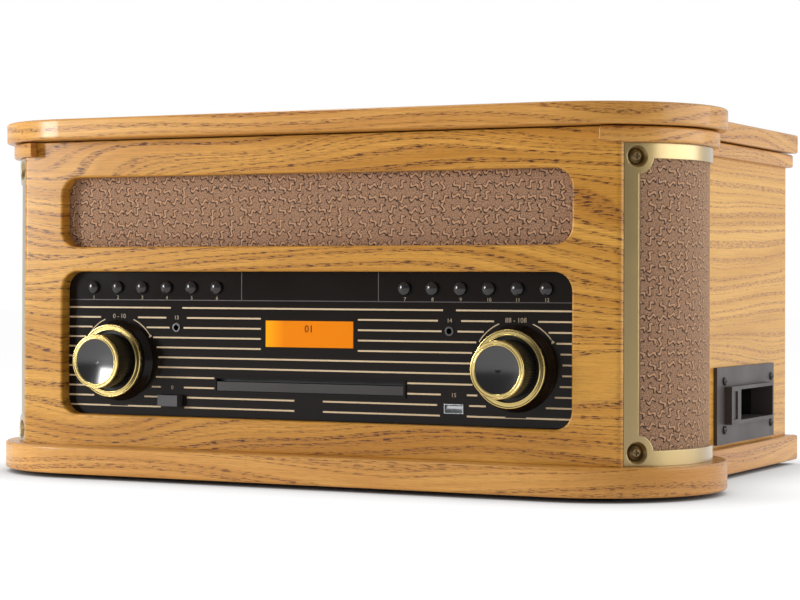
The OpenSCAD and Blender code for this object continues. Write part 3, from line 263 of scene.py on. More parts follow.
def oak_veneer(name, pale, deep, ring_hex, pore_hex, cut, pore_weight, sway):
    """Oak with two tones; cut is the sheet's place in the log and sway how far its rings bend."""
    material, tree, shader = make_material(name)
    along, across = grain_coordinates(tree)
    along = add(tree, "Math", {"operation": "ADD"}, {0: along, 1: cut}).outputs[0]

    bend = add(tree, "TexNoise", {"noise_dimensions": "2D"},
               {"Vector": stretched(tree, along, across, 300 * MM, 75 * MM), "Scale": 1.0,
                "Detail": 1.0})
    shift = add(tree, "MapRange", links={"Value": bend.outputs[0], "From Min": 0, "From Max": 1,
                                         "To Min": -sway, "To Max": sway})
    depth = add(tree, "Math", {"operation": "ADD"}, {0: across, 1: shift.outputs[0]}).outputs[0]

    tone = add(tree, "TexNoise", {"noise_dimensions": "2D"},
               {"Vector": stretched(tree, along, depth, 320 * MM, 14 * MM), "Scale": 1.0,
                "Detail": 3.0})
    tone_colour = add(tree, "ValToRGB", links={0: tone.outputs[0]})
    tone_colour.color_ramp.elements[0].position = 0.32
    tone_colour.color_ramp.elements[0].color = colour(deep)
    tone_colour.color_ramp.elements[1].position = 0.7
    tone_colour.color_ramp.elements[1].color = colour(pale)

    in_rings = add(tree, "Math", {"operation": "DIVIDE"}, {0: depth, 1: ring_pitch})
    rings = add(tree, "TexNoise", {"noise_dimensions": "1D"},
                {"W": in_rings.outputs[0], "Scale": 1.0, "Detail": 2.0, "Roughness": 0.6})
    early = add(tree, "MapRange", {"interpolation_type": "SMOOTHSTEP"},
                {"Value": rings.outputs[0], "From Min": 0.46, "From Max": 0.62})

    fibre = add(tree, "TexNoise", {"noise_dimensions": "2D"},
                {"Vector": stretched(tree, along, across, 45 * MM, 0.9 * MM), "Scale": 1.0,
                 "Detail": 2.0})
    fibre_strength = add(tree, "MapRange", links={"Value": fibre.outputs[0], "From Min": 0.35,
                                                  "From Max": 0.7, "To Min": 0.0, "To Max": 0.3})
    with_fibre = add(tree, "Mix", {"data_type": "RGBA"},
                     {0: fibre_strength.outputs[0], 6: tone_colour.outputs[0],
                      7: colour(ring_hex)})
    ring_strength = add(tree, "Math", {"operation": "MULTIPLY"}, {0: early.outputs[0], 1: 0.38})
    with_rings = add(tree, "Mix", {"data_type": "RGBA"},
                     {0: ring_strength.outputs[0], 6: with_fibre.outputs[2], 7: colour(ring_hex)})

    pore = add(tree, "TexNoise", {"noise_dimensions": "2D"},
               {"Vector": stretched(tree, along, across, pore_length, 0.75 * MM), "Scale": 1.0,
                "Detail": 2.0, "Roughness": 0.6})
    open_pore = add(tree, "MapRange", {"interpolation_type": "SMOOTHSTEP"},
                    {"Value": pore.outputs[0], "From Min": 0.5, "From Max": 0.62})
    more_in_rings = add(tree, "MapRange", links={"Value": early.outputs[0], "To Min": 0.12,
                                                 "To Max": 1.0})
    pore_mask = add(tree, "Math", {"operation": "MULTIPLY"},
                    {0: open_pore.outputs[0], 1: more_in_rings.outputs[0]})
    pore_strength = add(tree, "Math", {"operation": "MULTIPLY"},
                        {0: pore_mask.outputs[0], 1: pore_weight})
    with_pores = add(tree, "Mix", {"data_type": "RGBA"},
                     {0: pore_strength.outputs[0], 6: with_rings.outputs[2], 7: colour(pore_hex)})
    tree.links.new(with_pores.outputs[2], shader.inputs["Base Color"])
    eased = add(tree, "Bevel", {"samples": 4}, {"Radius": 1.2 * MM})
    pore_bump = add(tree, "Bump", {"invert": True}, {"Strength": 0.2, "Distance": 0.08 * MM,
                                                     "Height": pore_mask.outputs[0],
                                                     "Normal": eased.outputs[0]})
    tree.links.new(pore_bump.outputs[0], shader.inputs["Normal"])
    tree.links.new(eased.outputs[0], shader.inputs["Coat Normal"])
    shader.inputs["Roughness"].default_value = 0.42
    shader.inputs["Specular IOR Level"].default_value = 0.2
    shader.inputs["Coat Weight"].default_value = 0.4
    shader.inputs["Coat Roughness"].default_value = 0.18
    return material


oak_front = oak_veneer("oak_veneer_front", "#DEA545", "#C28628", "#965C1C", "#54290B", 0.11, 1.0,
                       38 * MM)
oak_side = oak_veneer("oak_veneer_side", "#E8B252", "#D39A38", "#B4762E", "#824C22", 1.37, 0.7,
                      16 * MM)
oak_edge = oak_veneer("oak_veneer_edge", "#E4AC5A", "#CB8E3E", "#A66A2C", "#6E3E1C", 2.71, 0.85,
                      24 * MM)
print(f"growth rings {1000 * ring_pitch:.1f} mm apart, pores {1000 * pore_length:.0f} mm long")

# %% [markdown]
# ## Jacquard speaker cloth
# The cloth is woven in two browns, with small curled figures floated over a fine ground and a dark
# thread round each. It is mapped by its own flat size in metres, so the figures keep their size
# round the columns.
#
# Each figure is a short S. The cloth is divided into cells, and within each the distance to a
# turned sine line is worked out: near the line is the figure, and just beyond it the dark thread.
# A painted shade widens the thread at the lower left, standing in for the raised edge's shadow.

# %% Jacquard cloth
figure_pitch = 7.3 * MM
figure_waves = 8.0
figure_swing = 0.16
figure_reach = 0.3


def curled_figures(tree, flat, shift):
    """Distance to the nearest curled figure, in cells, looked up a little to one side."""
    moved = add(tree, "VectorMath", {"operation": "ADD"}, {0: flat, 1: shift})
    in_cells = add(tree, "VectorMath", {"operation": "SCALE"},
                   {0: moved.outputs[0], "Scale": 1 / figure_pitch})
    cell = add(tree, "TexVoronoi", {"voronoi_dimensions": "2D"},
               {"Vector": in_cells.outputs[0], "Scale": 1.0, "Randomness": 0.35})
    from_middle = add(tree, "VectorMath", {"operation": "SUBTRACT"},
                      {0: in_cells.outputs[0], 1: cell.outputs["Position"]})
    chance = add(tree, "SeparateColor", links={0: cell.outputs["Color"]})
    turn = add(tree, "MapRange", links={"Value": chance.outputs[0], "To Min": -1.5, "To Max": 1.2})
    turned = add(tree, "VectorRotate", {"rotation_type": "Z_AXIS"},
                 {"Vector": from_middle.outputs[0], "Angle": turn.outputs[0]})
    at = add(tree, "SeparateXYZ", links={0: turned.outputs[0]})
    phase = add(tree, "Math", {"operation": "MULTIPLY"}, {0: at.outputs["X"], 1: figure_waves})
    wave = add(tree, "Math", {"operation": "SINE"}, {0: phase.outputs[0]})
    line = add(tree, "Math", {"operation": "MULTIPLY"}, {0: wave.outputs[0], 1: figure_swing})
    beside = add(tree, "Math", {"operation": "SUBTRACT"}, {0: at.outputs["Y"], 1: line.outputs[0]})
    reach = add(tree, "Math", {"operation": "ABSOLUTE"}, {0: at.outputs["X"]})
    past_end = add(tree, "Math", {"operation": "SUBTRACT"}, {0: reach.outputs[0], 1: figure_reach})
    beyond = add(tree, "Math", {"operation": "MAXIMUM"}, {0: past_end.outputs[0], 1: 0.0})
    both = add(tree, "CombineXYZ", links={0: beyond.outputs[0], 1: beside.outputs[0]})
    return add(tree, "VectorMath", {"operation": "LENGTH"}, {0: both.outputs[0]}).outputs["Value"]


def nearer_than(tree, distance, limit, softness):
    return add(tree, "MapRange", links={"Value": distance, "From Min": limit - softness,
                                        "From Max": limit + softness, "To Min": 1.0,
                                        "To Max": 0.0}).outputs[0]


jacquard, tree, shader = make_material("jacquard_cloth")
flat = add(tree, "UVMap", {"uv_map": "cloth"}).outputs[0]
ragged = add(tree, "TexNoise", {"noise_dimensions": "2D"},
             {"Vector": flat, "Scale": 1 / (1.6 * MM), "Detail": 1.0})
jitter = add(tree, "MapRange", links={"Value": ragged.outputs[0], "To Min": -0.05, "To Max": 0.05})
distance = add(tree, "Math", {"operation": "ADD"},
               {0: curled_figures(tree, flat, (0, 0, 0)), 1: jitter.outputs[0]}).outputs[0]
# painted shade: the figures looked up a little to one side, so the dark widens at their lower left
shaded = add(tree, "Math", {"operation": "ADD"},
             {0: curled_figures(tree, flat, (0.25 * MM, 0.3 * MM, 0)),
              1: jitter.outputs[0]}).outputs[0]
figure = nearer_than(tree, distance, 0.115, 0.02)
outline = nearer_than(tree, distance, 0.19, 0.02)
shade = nearer_than(tree, shaded, 0.2, 0.02)
faint = add(tree, "Math", {"operation": "MULTIPLY"}, {0: outline, 1: 0.85})
# the dark round each figure: the real thread, together with the painted shade at its lower left
rim = add(tree, "Math", {"operation": "MAXIMUM"}, {0: faint.outputs[0], 1: shade})
thread_and_painted_shade_mask = add(tree, "Math", {"operation": "SUBTRACT", "use_clamp": True},
                  {0: rim.outputs[0], 1: figure})
broken = add(tree, "MapRange", links={"Value": ragged.outputs[0], "From Min": 0.35,
                                      "From Max": 0.5, "To Min": 0.6, "To Max": 1.0})
thread_and_painted_shade_strength = add(tree, "Math", {"operation": "MULTIPLY"},
                      {0: thread_and_painted_shade_mask.outputs[0], 1: broken.outputs[0]})

# the real ground has about 2 threads in a millimetre; drawn at 0.8 mm so that it shows
ground = add(tree, "TexNoise", {"noise_dimensions": "2D"},
             {"Vector": flat, "Scale": 1 / (0.8 * MM), "Detail": 2.0})
ground_colour = add(tree, "ValToRGB", links={0: ground.outputs[0]})
ground_colour.color_ramp.elements[0].position = 0.35
ground_colour.color_ramp.elements[0].color = colour("#7B5944")
ground_colour.color_ramp.elements[1].position = 0.65
ground_colour.color_ramp.elements[1].color = colour("#B18A6A")
with_figures = add(tree, "Mix", {"data_type": "RGBA"},
                   {0: figure, 6: ground_colour.outputs[0], 7: colour("#BE9370")})
# one dark brown paints both the real thread and the painted shade beside each figure
with_threads_and_painted_shade = add(tree, "Mix", {"data_type": "RGBA"},
                   {0: thread_and_painted_shade_strength.outputs[0], 6: with_figures.outputs[2],
                    7: colour("#26130A")})
tree.links.new(with_threads_and_painted_shade.outputs[2], shader.inputs["Base Color"])
raised = add(tree, "Math", {"operation": "ADD"}, {0: figure, 1: ground.outputs[0]})
weave = add(tree, "Bump", links={"Strength": 0.6, "Distance": 0.3 * MM, "Height": raised.outputs[0]})
tree.links.new(weave.outputs[0], shader.inputs["Normal"])
shader.inputs["Roughness"].default_value = 0.85
shader.inputs["Sheen Weight"].default_value = 0.6
shader.inputs["Sheen Roughness"].default_value = 0.4
shader.inputs["Sheen Tint"].default_value = colour("#FFDDB8")
print(f"cloth figures stand about {1000 * figure_pitch:.1f} mm apart")

# %% [markdown]
# ## Metals
# No surface is equally smooth all over: its roughness wanders as moulding, handling and polishing
# leave it. The same function gives that to the metals here and to the plastics below.
#
# The column frames are stamped steel with a satin brass lacquer. Each knob has two turned rings
# plated in satin gold. The parts under the lid are plain: a turned aluminium platter and steel.


# %% Metals
def wandering_roughness(tree, shader, place, roughness, patch, detail):
    """A roughness that differs a little from place to place, over patches of this size."""
    cloud = add(tree, "TexNoise", links={"Vector": place, "Scale": 1 / patch, "Detail": detail})
    rough = add(tree, "MapRange", links={"Value": cloud.outputs[0], "From Min": 0.3, "From Max": 0.7,
                                         "To Min": roughness * 0.85, "To Max": roughness * 1.15})
    tree.links.new(rough.outputs[0], shader.inputs["Roughness"])


def metal(name, hex_value, roughness, grit=0.0, eased=0.4 * MM, lacquer=0.0):
    """A metal with eased edges; grit is how much of a fine turned or cast texture it has."""
    material, tree, shader = make_material(name)
    place = add(tree, "TexCoord").outputs["Object"]
    wandering_roughness(tree, shader, place, roughness, patch=12 * MM, detail=4.0)
    shader.inputs["Base Color"].default_value = colour(hex_value)
    shader.inputs["Metallic"].default_value = 1.0
    edge = add(tree, "Bevel", {"samples": 4}, {"Radius": eased})
    fine = add(tree, "TexNoise", links={"Vector": place, "Scale": 1 / (0.25 * MM)})
    bump = add(tree, "Bump", links={"Strength": grit, "Distance": 0.05 * MM,
                                    "Height": fine.outputs[0], "Normal": edge.outputs[0]})
    tree.links.new(bump.outputs[0], shader.inputs["Normal"])
    tree.links.new(edge.outputs[0], shader.inputs["Coat Normal"])
    shader.inputs["Coat Weight"].default_value = lacquer
    shader.inputs["Coat Roughness"].default_value = 0.2
    return material


satin_brass = metal("satin_brass_lacquer", "#A99261", 0.34, eased=0.8 * MM, lacquer=1.0)
gold_plate = metal("satin_gold_plate", "#DCC480", 0.24, eased=0.05 * MM)
bronzed_steel = metal("bronzed_screw_steel", "#857150", 0.35)
dark_nickel = metal("dark_nickel", "#5C5A5A", 0.35)
bright_steel = metal("plated_steel", "#C4C6C8", 0.28)
turned_aluminium = metal("turned_aluminium", "#D3D4D6", 0.32, grit=0.1)
print("metals made")

# %% [markdown]
# ## Plastics and rubber
# The control panel and buttons are gloss acrylic and ABS, which reflect the lamps sharply. The grips
# and the cassette plate are moulded with a fine spark-eroded texture, which spreads the reflection.


# %% Plastics
def moulded(name, hex_value, roughness, grain=0.0, sheen=0.5):
    """Moulded plastic, rubber or ink; grain is the depth of the mould's texture, sheen its gloss."""
    material, tree, shader = make_material(name)
    place = add(tree, "TexCoord").outputs["Object"]
    wandering_roughness(tree, shader, place, roughness, patch=30 * MM, detail=3.0)
    shader.inputs["Base Color"].default_value = colour(hex_value)
    shader.inputs["Specular IOR Level"].default_value = sheen
    if grain:
        fine = add(tree, "TexNoise", links={"Vector": place, "Scale": 1 / (0.6 * MM),
                                            "Detail": 2.0})
        bump = add(tree, "Bump", links={"Strength": grain, "Distance": 0.08 * MM,
                                        "Height": fine.outputs[0]})
        tree.links.new(bump.outputs[0], shader.inputs["Normal"])
    return material


panel_acrylic = moulded("panel_acrylic", "#17120F", 0.14, sheen=0.18)
button_abs = moulded("button_gloss_abs", "#2A2626", 0.14)
power_abs = moulded("power_button_abs", "#3E3C3E", 0.35, grain=0.2)
tray_abs = moulded("tray_satin_abs", "#393435", 0.35, grain=0.1, sheen=0.4)
grip_abs = moulded("grip_satin_abs", "#1B1816", 0.3, grain=0.1, sheen=0.35)
plate_abs = moulded("cassette_plate_abs", "#433C3B", 0.45, grain=0.35)
well_abs = moulded("cassette_well_abs", "#17151A", 0.5, grain=0.3)
deck_abs = moulded("record_deck_abs", "#201E1D", 0.5, grain=0.35)
hub_acetal = moulded("hub_acetal", "#E6E2D8", 0.4)
cartridge_abs = moulded("cartridge_abs", "#8F2A1E", 0.3)
laminate = moulded("circuit_board_laminate", "#2C5B38", 0.45, grain=0.2)
foot_rubber = moulded("foot_rubber", "#161616", 0.8, grain=0.3)
mat_rubber = moulded("mat_rubber", "#232020", 0.7, grain=0.3)
print("plastics and rubbers made")

# %% Lacquered knob face
# The hollow face of each knob is lacquered, so it mirrors the room upside down and softly: the
# floor above, the darker room below, and the lamp at the front left as a bright patch.
face_lacquer = moulded("knob_face_lacquer", "#100D0D", 0.16)
coat = face_lacquer.node_tree.nodes["Principled BSDF"].inputs
coat["Coat Weight"].default_value = 0.8
coat["Coat Roughness"].default_value = 0.14
coat["Coat IOR"].default_value = 1.6
print("knob face coat", coat["Coat Weight"].default_value)

# %% Back-lit display
# An amber diffuser lit from its left edge: it glows evenly and is a little yellower at the left.
display_amber, tree, shader = make_material("display_amber")
place = add(tree, "TexCoord").outputs["Object"]
at = add(tree, "SeparateXYZ", links={0: place})
from_left = add(tree, "MapRange", links={"Value": at.outputs["X"], "From Min": -32 * MM,
                                         "From Max": -18 * MM, "To Min": 0, "To Max": 1})
glow = add(tree, "Mix", {"data_type": "RGBA"},
           {0: from_left.outputs[0], 6: colour("#FFA80C"), 7: colour("#E67F00")})
tree.links.new(glow.outputs[2], shader.inputs["Base Color"])
tree.links.new(glow.outputs[2], shader.inputs["Emission Color"])
shader.inputs["Emission Strength"].default_value = 0.14
shader.inputs["Specular IOR Level"].default_value = 0.08
shader.inputs["Roughness"].default_value = 0.35
print("display glows at strength", shader.inputs["Emission Strength"].default_value)

# %% [markdown]
# ## Dressing the solid pieces
# Each solid piece takes one finish, and only the knobs take a second one on their faces. The real
# cabinet uses few: veneer on every board, satin brass on the columns, black plastics in front.

# %% Which finish each piece has
finish_of = {
    oak_front: ["front_panel"],
    oak_side: ["side_panels", "rear_panel"],
    oak_edge: ["base_board", "top_mouldings", "lid_board"],
    satin_brass: ["column_frames"],
    gold_plate: ["volume_rings", "tuning_rings", "motor_pulley"],
    bronzed_steel: ["column_screws"],
    bright_steel: ["lid_hardware_fixed", "lid_hardware_moving", "lid_stay", "rotary_controls",
                   "usb_port", "turntable_motor", "arm_gimbal", "cue_lever", "speed_switch"],
    dark_nickel: ["audio_jacks"],
    turned_aluminium: ["platter"],
    panel_acrylic: ["fascia"],
    button_abs: [f"button_{i}" for i in range(1, 13)],
    power_abs: ["power_button"],
    tray_abs: ["cd_tray", "eject_button"],
    grip_abs: ["volume_knob", "tuning_knob", "cassette_screws"],
    plate_abs: ["cassette_bezel"],
    well_abs: ["cassette_deck", "cd_mechanism", "column_formers", "speakers", "rear_sockets"],
    deck_abs: ["deck_plate", "arm_mounts", "tonearm"],
    hub_acetal: ["supply_hub", "takeup_hub"],
    cartridge_abs: ["cartridge"],
    laminate: ["circuit_boards"],
    foot_rubber: ["feet", "drive_belt"],
    mat_rubber: ["platter_mat"],
    display_amber: ["display_lens"],
    jacquard: ["column_cloths", "grille_cloth"],
}
for material, names in finish_of.items():
    for name in names:
        slots = nodes[name].data.materials
        if not slots:
            slots.append(material)
        for i in range(len(slots)):
            slots[i] = material
dressed = {name for names in finish_of.values() for name in names}
print("pieces with no finish yet:", sorted(set(nodes) - dressed))

# %% Lacquer on the knob faces
# Only the faces in the dish at the front of each knob take it; the grip round them stays satin.
dish_r = 14.6 * MM
dish_depth = 3 * MM
for knob_name in ("volume_knob", "tuning_knob"):
    knob = nodes[knob_name]
    knob.data.materials.append(face_lacquer)
    axis = middle(knob_name)
    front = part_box(knob_name)[0][1]
    for face in knob.data.polygons:
        from_axis = math.hypot(face.center.x - axis.x, face.center.z - axis.z)
        if face.normal.y < -0.9 and from_axis < dish_r and face.center.y < front + dish_depth:
            face.material_index = len(knob.data.materials) - 1
    print(knob_name, "finishes:", [material.name for material in knob.data.materials])

# %% [markdown]
# ## Speaker cloth
# Cloth on a column is stretched round a half-round former and glued at its edges. It is made as the
# real one is cut: one flat strip. A single upright edge is spun round the column's axis, which gives
# evenly spaced faces, the holes for the frame's screw cups are cut, and each corner's place on the
# flat strip is written down as its UV.


# %% Helpers for new pieces
def fresh(name):
    """Names the object that an operator just made, and puts its place into its mesh."""
    piece = bpy.context.object
    piece.name = name
    piece.data.name = name
    bpy.ops.object.transform_apply(location=True, rotation=True, scale=True)
    return piece


def dress(piece, material, body="cabinet"):
    """Gives a piece its material. All the new pieces are fixed to the cabinet."""
    piece.data.materials.clear()
    piece.data.materials.append(material)
    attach(piece, body)


def write_flat_map(piece, flat_place):
    """Writes the UV map called cloth: each corner's place on the flat cloth, in metres."""
    chart = piece.data.uv_layers.new(name="cloth")
    for loop in piece.data.loops:
        chart.data[loop.index].uv = flat_place(piece.data.vertices[loop.vertex_index].co)


print("helpers ready")

# %% The cloth of each column
column_low, column_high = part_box("column_cloths")
cloth_r = 70.4 * MM
column_axis_x = column_high[0] - cloth_r
column_axis_y = face_y + 63 * MM
front_angle = math.radians(-54.0)
rear_angle = math.radians(56.6)
rows = 130
steps_round = 90
cup_hole_r = 8.6 * MM
cup_inset = 8.2 * MM
cup_angles = (-48.5, 50.5)
cups = [(cloth_r * math.radians(angle), height) for angle in cup_angles
        for height in (column_low[2] + cup_inset, column_high[2] - cup_inset)]


def column_cloth(name, side):
    bpy.ops.object.select_all(action="DESELECT")
    bpy.ops.mesh.primitive_plane_add(size=2 * MM)
    strip = bpy.context.object
    bpy.ops.object.mode_set(mode="EDIT")
    bpy.ops.mesh.select_all(action="SELECT")
    bpy.ops.mesh.merge(type="CENTER")
    start = (side * (column_axis_x + cloth_r * math.cos(front_angle)),
             column_axis_y + cloth_r * math.sin(front_angle), column_low[2])
    bpy.ops.transform.translate(value=start)
    bpy.ops.mesh.extrude_region_move(
        TRANSFORM_OT_translate={"value": (0, 0, column_high[2] - column_low[2])})
    bpy.ops.mesh.select_all(action="SELECT")
    bpy.ops.mesh.subdivide(number_cuts=rows - 1)
    bpy.ops.mesh.select_all(action="SELECT")
    bpy.ops.mesh.spin(steps=steps_round, angle=side * (rear_angle - front_angle),
                      center=(side * column_axis_x, column_axis_y, 0), axis=(0, 0, -1))
    bpy.ops.mesh.select_all(action="SELECT")
    bpy.ops.mesh.remove_doubles(threshold=0.01 * MM)
    bpy.ops.mesh.normals_make_consistent(inside=False)
    bpy.ops.mesh.select_mode(type="FACE")
    bpy.ops.mesh.select_all(action="DESELECT")
    bpy.ops.object.mode_set(mode="OBJECT")
    piece = fresh(name)
    # the holes through which the frame's screw cups reach, cut face by face
    for face in piece.data.polygons:
        face.use_smooth = True
        around = cloth_r * math.atan2(face.center.y - column_axis_y,
                                      side * face.center.x - column_axis_x)
        face.select = any(math.hypot(around - cup[0], face.center.z - cup[1]) < cup_hole_r
                          for cup in cups)
    bpy.ops.object.mode_set(mode="EDIT")
    bpy.ops.mesh.delete(type="FACE")
    bpy.ops.mesh.select_mode(type="VERT")
    bpy.ops.object.mode_set(mode="OBJECT")
    write_flat_map(piece, lambda v: (
        cloth_r * math.atan2(v.y - column_axis_y, side * v.x - column_axis_x), v.z))
    return piece


for side, name in ((1, "column_cloth_right"), (-1, "column_cloth_left")):
    cloth = column_cloth(name, side)
    dress(cloth, jacquard)
    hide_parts("column_cloths")
    outward = sum((p.normal.x for p in cloth.data.polygons)) * side
    print(name, len(cloth.data.polygons), "faces, outward", outward > 0,
          [round(v * 1000, 1) for v in cloth.dimensions])

# %% The cloth of the upper window
low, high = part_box("grille_cloth")
bpy.ops.object.select_all(action="DESELECT")
bpy.ops.mesh.primitive_plane_add(size=1, rotation=(math.radians(90), 0, 0),
                                 location=((low[0] + high[0]) / 2, low[1] + 0.2 * MM,
                                           (low[2] + high[2]) / 2))
bpy.ops.transform.resize(value=(high[0] - low[0], 1, high[2] - low[2]))
window_cloth = fresh("window_cloth")
bpy.ops.object.mode_set(mode="EDIT")
bpy.ops.mesh.subdivide(number_cuts=12)
bpy.ops.object.mode_set(mode="OBJECT")
write_flat_map(window_cloth, lambda v: (v.x, v.z))
dress(window_cloth, jacquard)
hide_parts("grille_cloth")
print("window cloth", [round(v * 1000, 1) for v in window_cloth.dimensions])

# %% [markdown]
# ## The print on the control panel
# Eleven thin cream stripes are silk-screened on the acrylic, with gaps for whatever stands in their
# way. Each is described by its height and its gaps, so the whole layout reads like the drawing.

# %% Print ink
print_ink = moulded("cream_print_ink", "#D3BB96", 0.45)
number_ink = moulded("soft_print_ink", "#A8957B", 0.45)
divider_ink = moulded("grey_divider_ink", "#4C4644", 0.4)
digit_ink = moulded("dark_display_digits", "#4E2204", 0.5, sheen=0.1)
ink_lift = 0.06 * MM

# %% Stripes
stripe_top = base_z + 110.3 * MM
stripe_pitch = 6.55 * MM
stripe_h = 1.05 * MM
print_end = 187 * MM
knob_x = middle("tuning_knob").x
knob_z = middle("tuning_knob").z
clear_r = 31 * MM
thinned_half = 7 * MM
thinned_h = 0.4 * MM
display_half = 35.5 * MM
tray_half = 70.5 * MM
middle_half = 10.5 * MM
jack_x = knob_x - 45 * MM
port_x = knob_x - 41.9 * MM

# stripe number: gaps that both halves share, as (inner end, outer end) from the middle, in metres
gaps = {
    1: [(jack_x - 4.5 * MM, jack_x + 4.5 * MM)],
    2: [(0, display_half), (jack_x - 8 * MM, jack_x + 8 * MM), (130 * MM, 159.5 * MM)],
    3: [(0, display_half), (jack_x - 5.5 * MM, jack_x + 5.5 * MM)],
    4: [(0, display_half)],
    5: [(0, display_half)],
    6: [],
    7: [],
    8: [(0, tray_half)],
    9: [(0, tray_half), (port_x - 9 * MM, port_x + 9 * MM)],
    10: [(0, middle_half), (port_x - 11.5 * MM, port_x + 10.5 * MM)],
    11: [(0, middle_half), (port_x - 9.5 * MM, port_x + 9 * MM),
         (knob_x - thinned_half, knob_x + thinned_half)],
}
last_stripe = 11


def stripe_runs(number):
    """The printed lengths of one stripe, as (from, to) on the right half."""
    z = stripe_top - (number - 1) * stripe_pitch
    blocked = list(gaps[number])
    reach = clear_r ** 2 - (z - knob_z) ** 2
    if reach > 0 and number != last_stripe:
        blocked.append((knob_x - math.sqrt(reach), knob_x + math.sqrt(reach)))
    runs = []
    start = 0.0
    for low_end, high_end in sorted(blocked):
        if low_end > start:
            runs.append((start, low_end))
        start = max(start, high_end)
    runs.append((start, print_end))
    return z, runs


def printed_bar(x_from, x_to, z, height):
    """A flat bar of ink: a plane given its size, then lifted off the panel by its thickness."""
    bpy.ops.object.select_all(action="DESELECT")
    bpy.ops.mesh.primitive_plane_add(size=1, rotation=(math.radians(90), 0, 0),
                                     location=((x_from + x_to) / 2, panel_y, z))
    bpy.ops.transform.resize(value=(x_to - x_from, 1, height))
    bpy.ops.object.mode_set(mode="EDIT")
    bpy.ops.mesh.extrude_region_move(TRANSFORM_OT_translate={"value": (0, -ink_lift, 0)})
    bpy.ops.mesh.select_all(action="SELECT")
    bpy.ops.mesh.normals_make_consistent(inside=False)
    bpy.ops.object.mode_set(mode="OBJECT")
    return bpy.context.object


bars = []
for number in gaps:
    z, runs = stripe_runs(number)
    for x_from, x_to in runs:
        if x_from == 0:
            bars.append(printed_bar(-x_to, x_to, z, stripe_h))
        else:
            bars.append(printed_bar(x_from, x_to, z, stripe_h))
            bars.append(printed_bar(-x_to, -x_from, z, stripe_h))
print("printed bars:", len(bars))


# %% Join the bars into one printed piece
def joined(parts, name):
    bpy.ops.object.select_all(action="DESELECT")
    for part in parts:
        part.select_set(True)
    bpy.context.view_layer.objects.active = parts[0]
    bpy.ops.object.join()
    return fresh(name)


# the last stripe is thinned from above where the clear circle round each knob touches it
last_stripe_low = stripe_top - (last_stripe - 1) * stripe_pitch - stripe_h / 2
for side in (-1, 1):
    bars.append(printed_bar(side * knob_x - thinned_half, side * knob_x + thinned_half,
                            last_stripe_low + thinned_h / 2, thinned_h))
stripes = joined(bars, "panel_stripes")
dress(stripes, print_ink)
print("stripes span", [round(v * 1000, 1) for v in stripes.dimensions])


# %% Arcs over the knobs
def printed_arc(axis_x, from_degrees, to_degrees):
    """Part of a flat ring round a knob's axis; angles are measured from the right, upwards."""
    bpy.ops.object.select_all(action="DESELECT")
    bpy.ops.mesh.primitive_circle_add(vertices=240, radius=arc_r, fill_type="NOTHING",
                                      rotation=(math.radians(90), 0, 0),
                                      location=(axis_x, panel_y - ink_lift, knob_z))
    bpy.ops.object.mode_set(mode="EDIT")
    bpy.ops.mesh.extrude_region_move()
    bpy.ops.transform.resize(value=(1 + arc_w / arc_r,) * 3)
    bpy.ops.mesh.normals_make_consistent(inside=False)
    bpy.ops.mesh.select_all(action="DESELECT")
    bpy.ops.object.mode_set(mode="OBJECT")
    arc = fresh("arc")
    for vertex in arc.data.vertices:
        angle = math.degrees(math.atan2(vertex.co.z - knob_z, vertex.co.x - axis_x))
        vertex.select = not from_degrees <= angle <= to_degrees
    bpy.ops.object.mode_set(mode="EDIT")
    bpy.ops.mesh.delete(type="VERT")
    bpy.ops.object.mode_set(mode="OBJECT")
    return arc


def arrow_head(axis_x, at_degrees):
    """A small triangle on the arc, whose point runs on clockwise."""
    turned = math.radians(at_degrees)
    on_arc = arc_r + arc_w / 2
    bpy.ops.object.select_all(action="DESELECT")
    bpy.ops.mesh.primitive_circle_add(
        vertices=3, radius=arrow_r, fill_type="NGON", rotation=(math.radians(90), 0, 0),
        location=(axis_x + on_arc * math.cos(turned), panel_y - ink_lift,
                  knob_z + on_arc * math.sin(turned)))
    bpy.ops.transform.rotate(value=math.pi - turned, orient_axis="Y")
    return bpy.context.object


arc_r = 29.2 * MM
arc_w = 0.6 * MM
arrow_r = 1.5 * MM
left_arc = (111, 148)
right_arc = (36, 69)
arrow_at = 34
arcs = []
for side in (-1, 1):
    arcs.append(printed_arc(side * knob_x, *left_arc))
    arcs.append(printed_arc(side * knob_x, *right_arc))
    arcs.append(arrow_head(side * knob_x, arrow_at))
arcs = joined(arcs, "panel_arcs")
dress(arcs, print_ink)
print("arcs", len(arcs.data.polygons), "faces, forward",
      sum(face.normal.y * face.area for face in arcs.data.polygons) < 0)

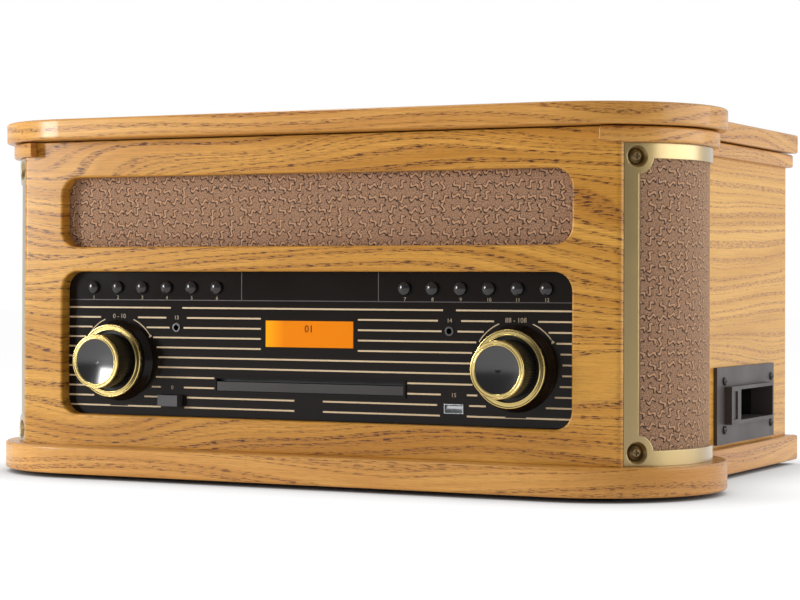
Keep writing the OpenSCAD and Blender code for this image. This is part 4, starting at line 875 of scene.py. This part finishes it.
# %% Dividing lines round the button rows
divider_z = base_z + 115.4 * MM
divider_w = 0.5 * MM
plate_half = 50 * MM
panel_top = base_z + 134.2 * MM
dividers = [printed_bar(-print_end, print_end, divider_z, divider_w)]
for x in (-plate_half, plate_half):
    dividers.append(printed_bar(x - divider_w / 2, x + divider_w / 2,
                                (divider_z + panel_top) / 2, panel_top - divider_z))
dividers = joined(dividers, "panel_dividers")
dress(dividers, divider_ink)
print("dividers", [round(v * 1000, 1) for v in dividers.dimensions])

# %% [markdown]
# ## Numbers
# The buttons carry plain numbers. Each is a text object turned upright, given a little thickness and
# made a mesh, because a printed number is a shape like any other. A numeral is 0.7 of its font's
# size in height.


# %% Numbers on the panel
numeral_share = 0.7


def number_print(text, x, z, height):
    bpy.ops.object.select_all(action="DESELECT")
    bpy.ops.object.text_add(rotation=(math.radians(90), 0, 0), location=(x, panel_y - ink_lift, z))
    mark = bpy.context.object
    mark.data.body = text
    mark.data.align_x = "CENTER"
    mark.data.align_y = "CENTER"
    mark.data.size = height / numeral_share
    mark.data.extrude = ink_lift
    mark.data.resolution_u = 3
    bpy.ops.object.convert(target="MESH")
    return bpy.context.object


knob_mark = {"z": base_z + 104.4 * MM, "height": 3.0 * MM}
jack_mark = {"z": base_z + 103.8 * MM, "height": 2.6 * MM}
port_mark = {"z": base_z + 57.6 * MM, "height": 2.6 * MM}
button_mark_h = 2.3 * MM
button_mark_drop = 6.9 * MM
marks = []
for i in range(12):
    where = middle(f"button_{i + 1}")
    marks.append(number_print(str(i + 1), where.x, where.z - button_mark_drop, button_mark_h))
marks.append(number_print("0 - 10", -knob_x, **knob_mark))
marks.append(number_print("88 - 108", knob_x, **knob_mark))
marks.append(number_print("13", -jack_x, **jack_mark))
marks.append(number_print("14", jack_x, **jack_mark))
marks.append(number_print("0", -port_x, **port_mark))
marks.append(number_print("15", port_x, **port_mark))
numbers = joined(marks, "panel_numbers")
dress(numbers, number_ink)
print("numbers:", len(marks))

# %% Digits on the display
lens = middle("display_lens")
digit_h = 4.6 * MM
digit_rise = 3.2 * MM
digits = number_print("01", lens.x, lens.z + digit_rise, digit_h)
digits.location.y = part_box("display_lens")[0][1] - ink_lift
digits = fresh("display_digits")
dress(digits, digit_ink)
print("digits", [round(v * 1000, 1) for v in digits.dimensions])
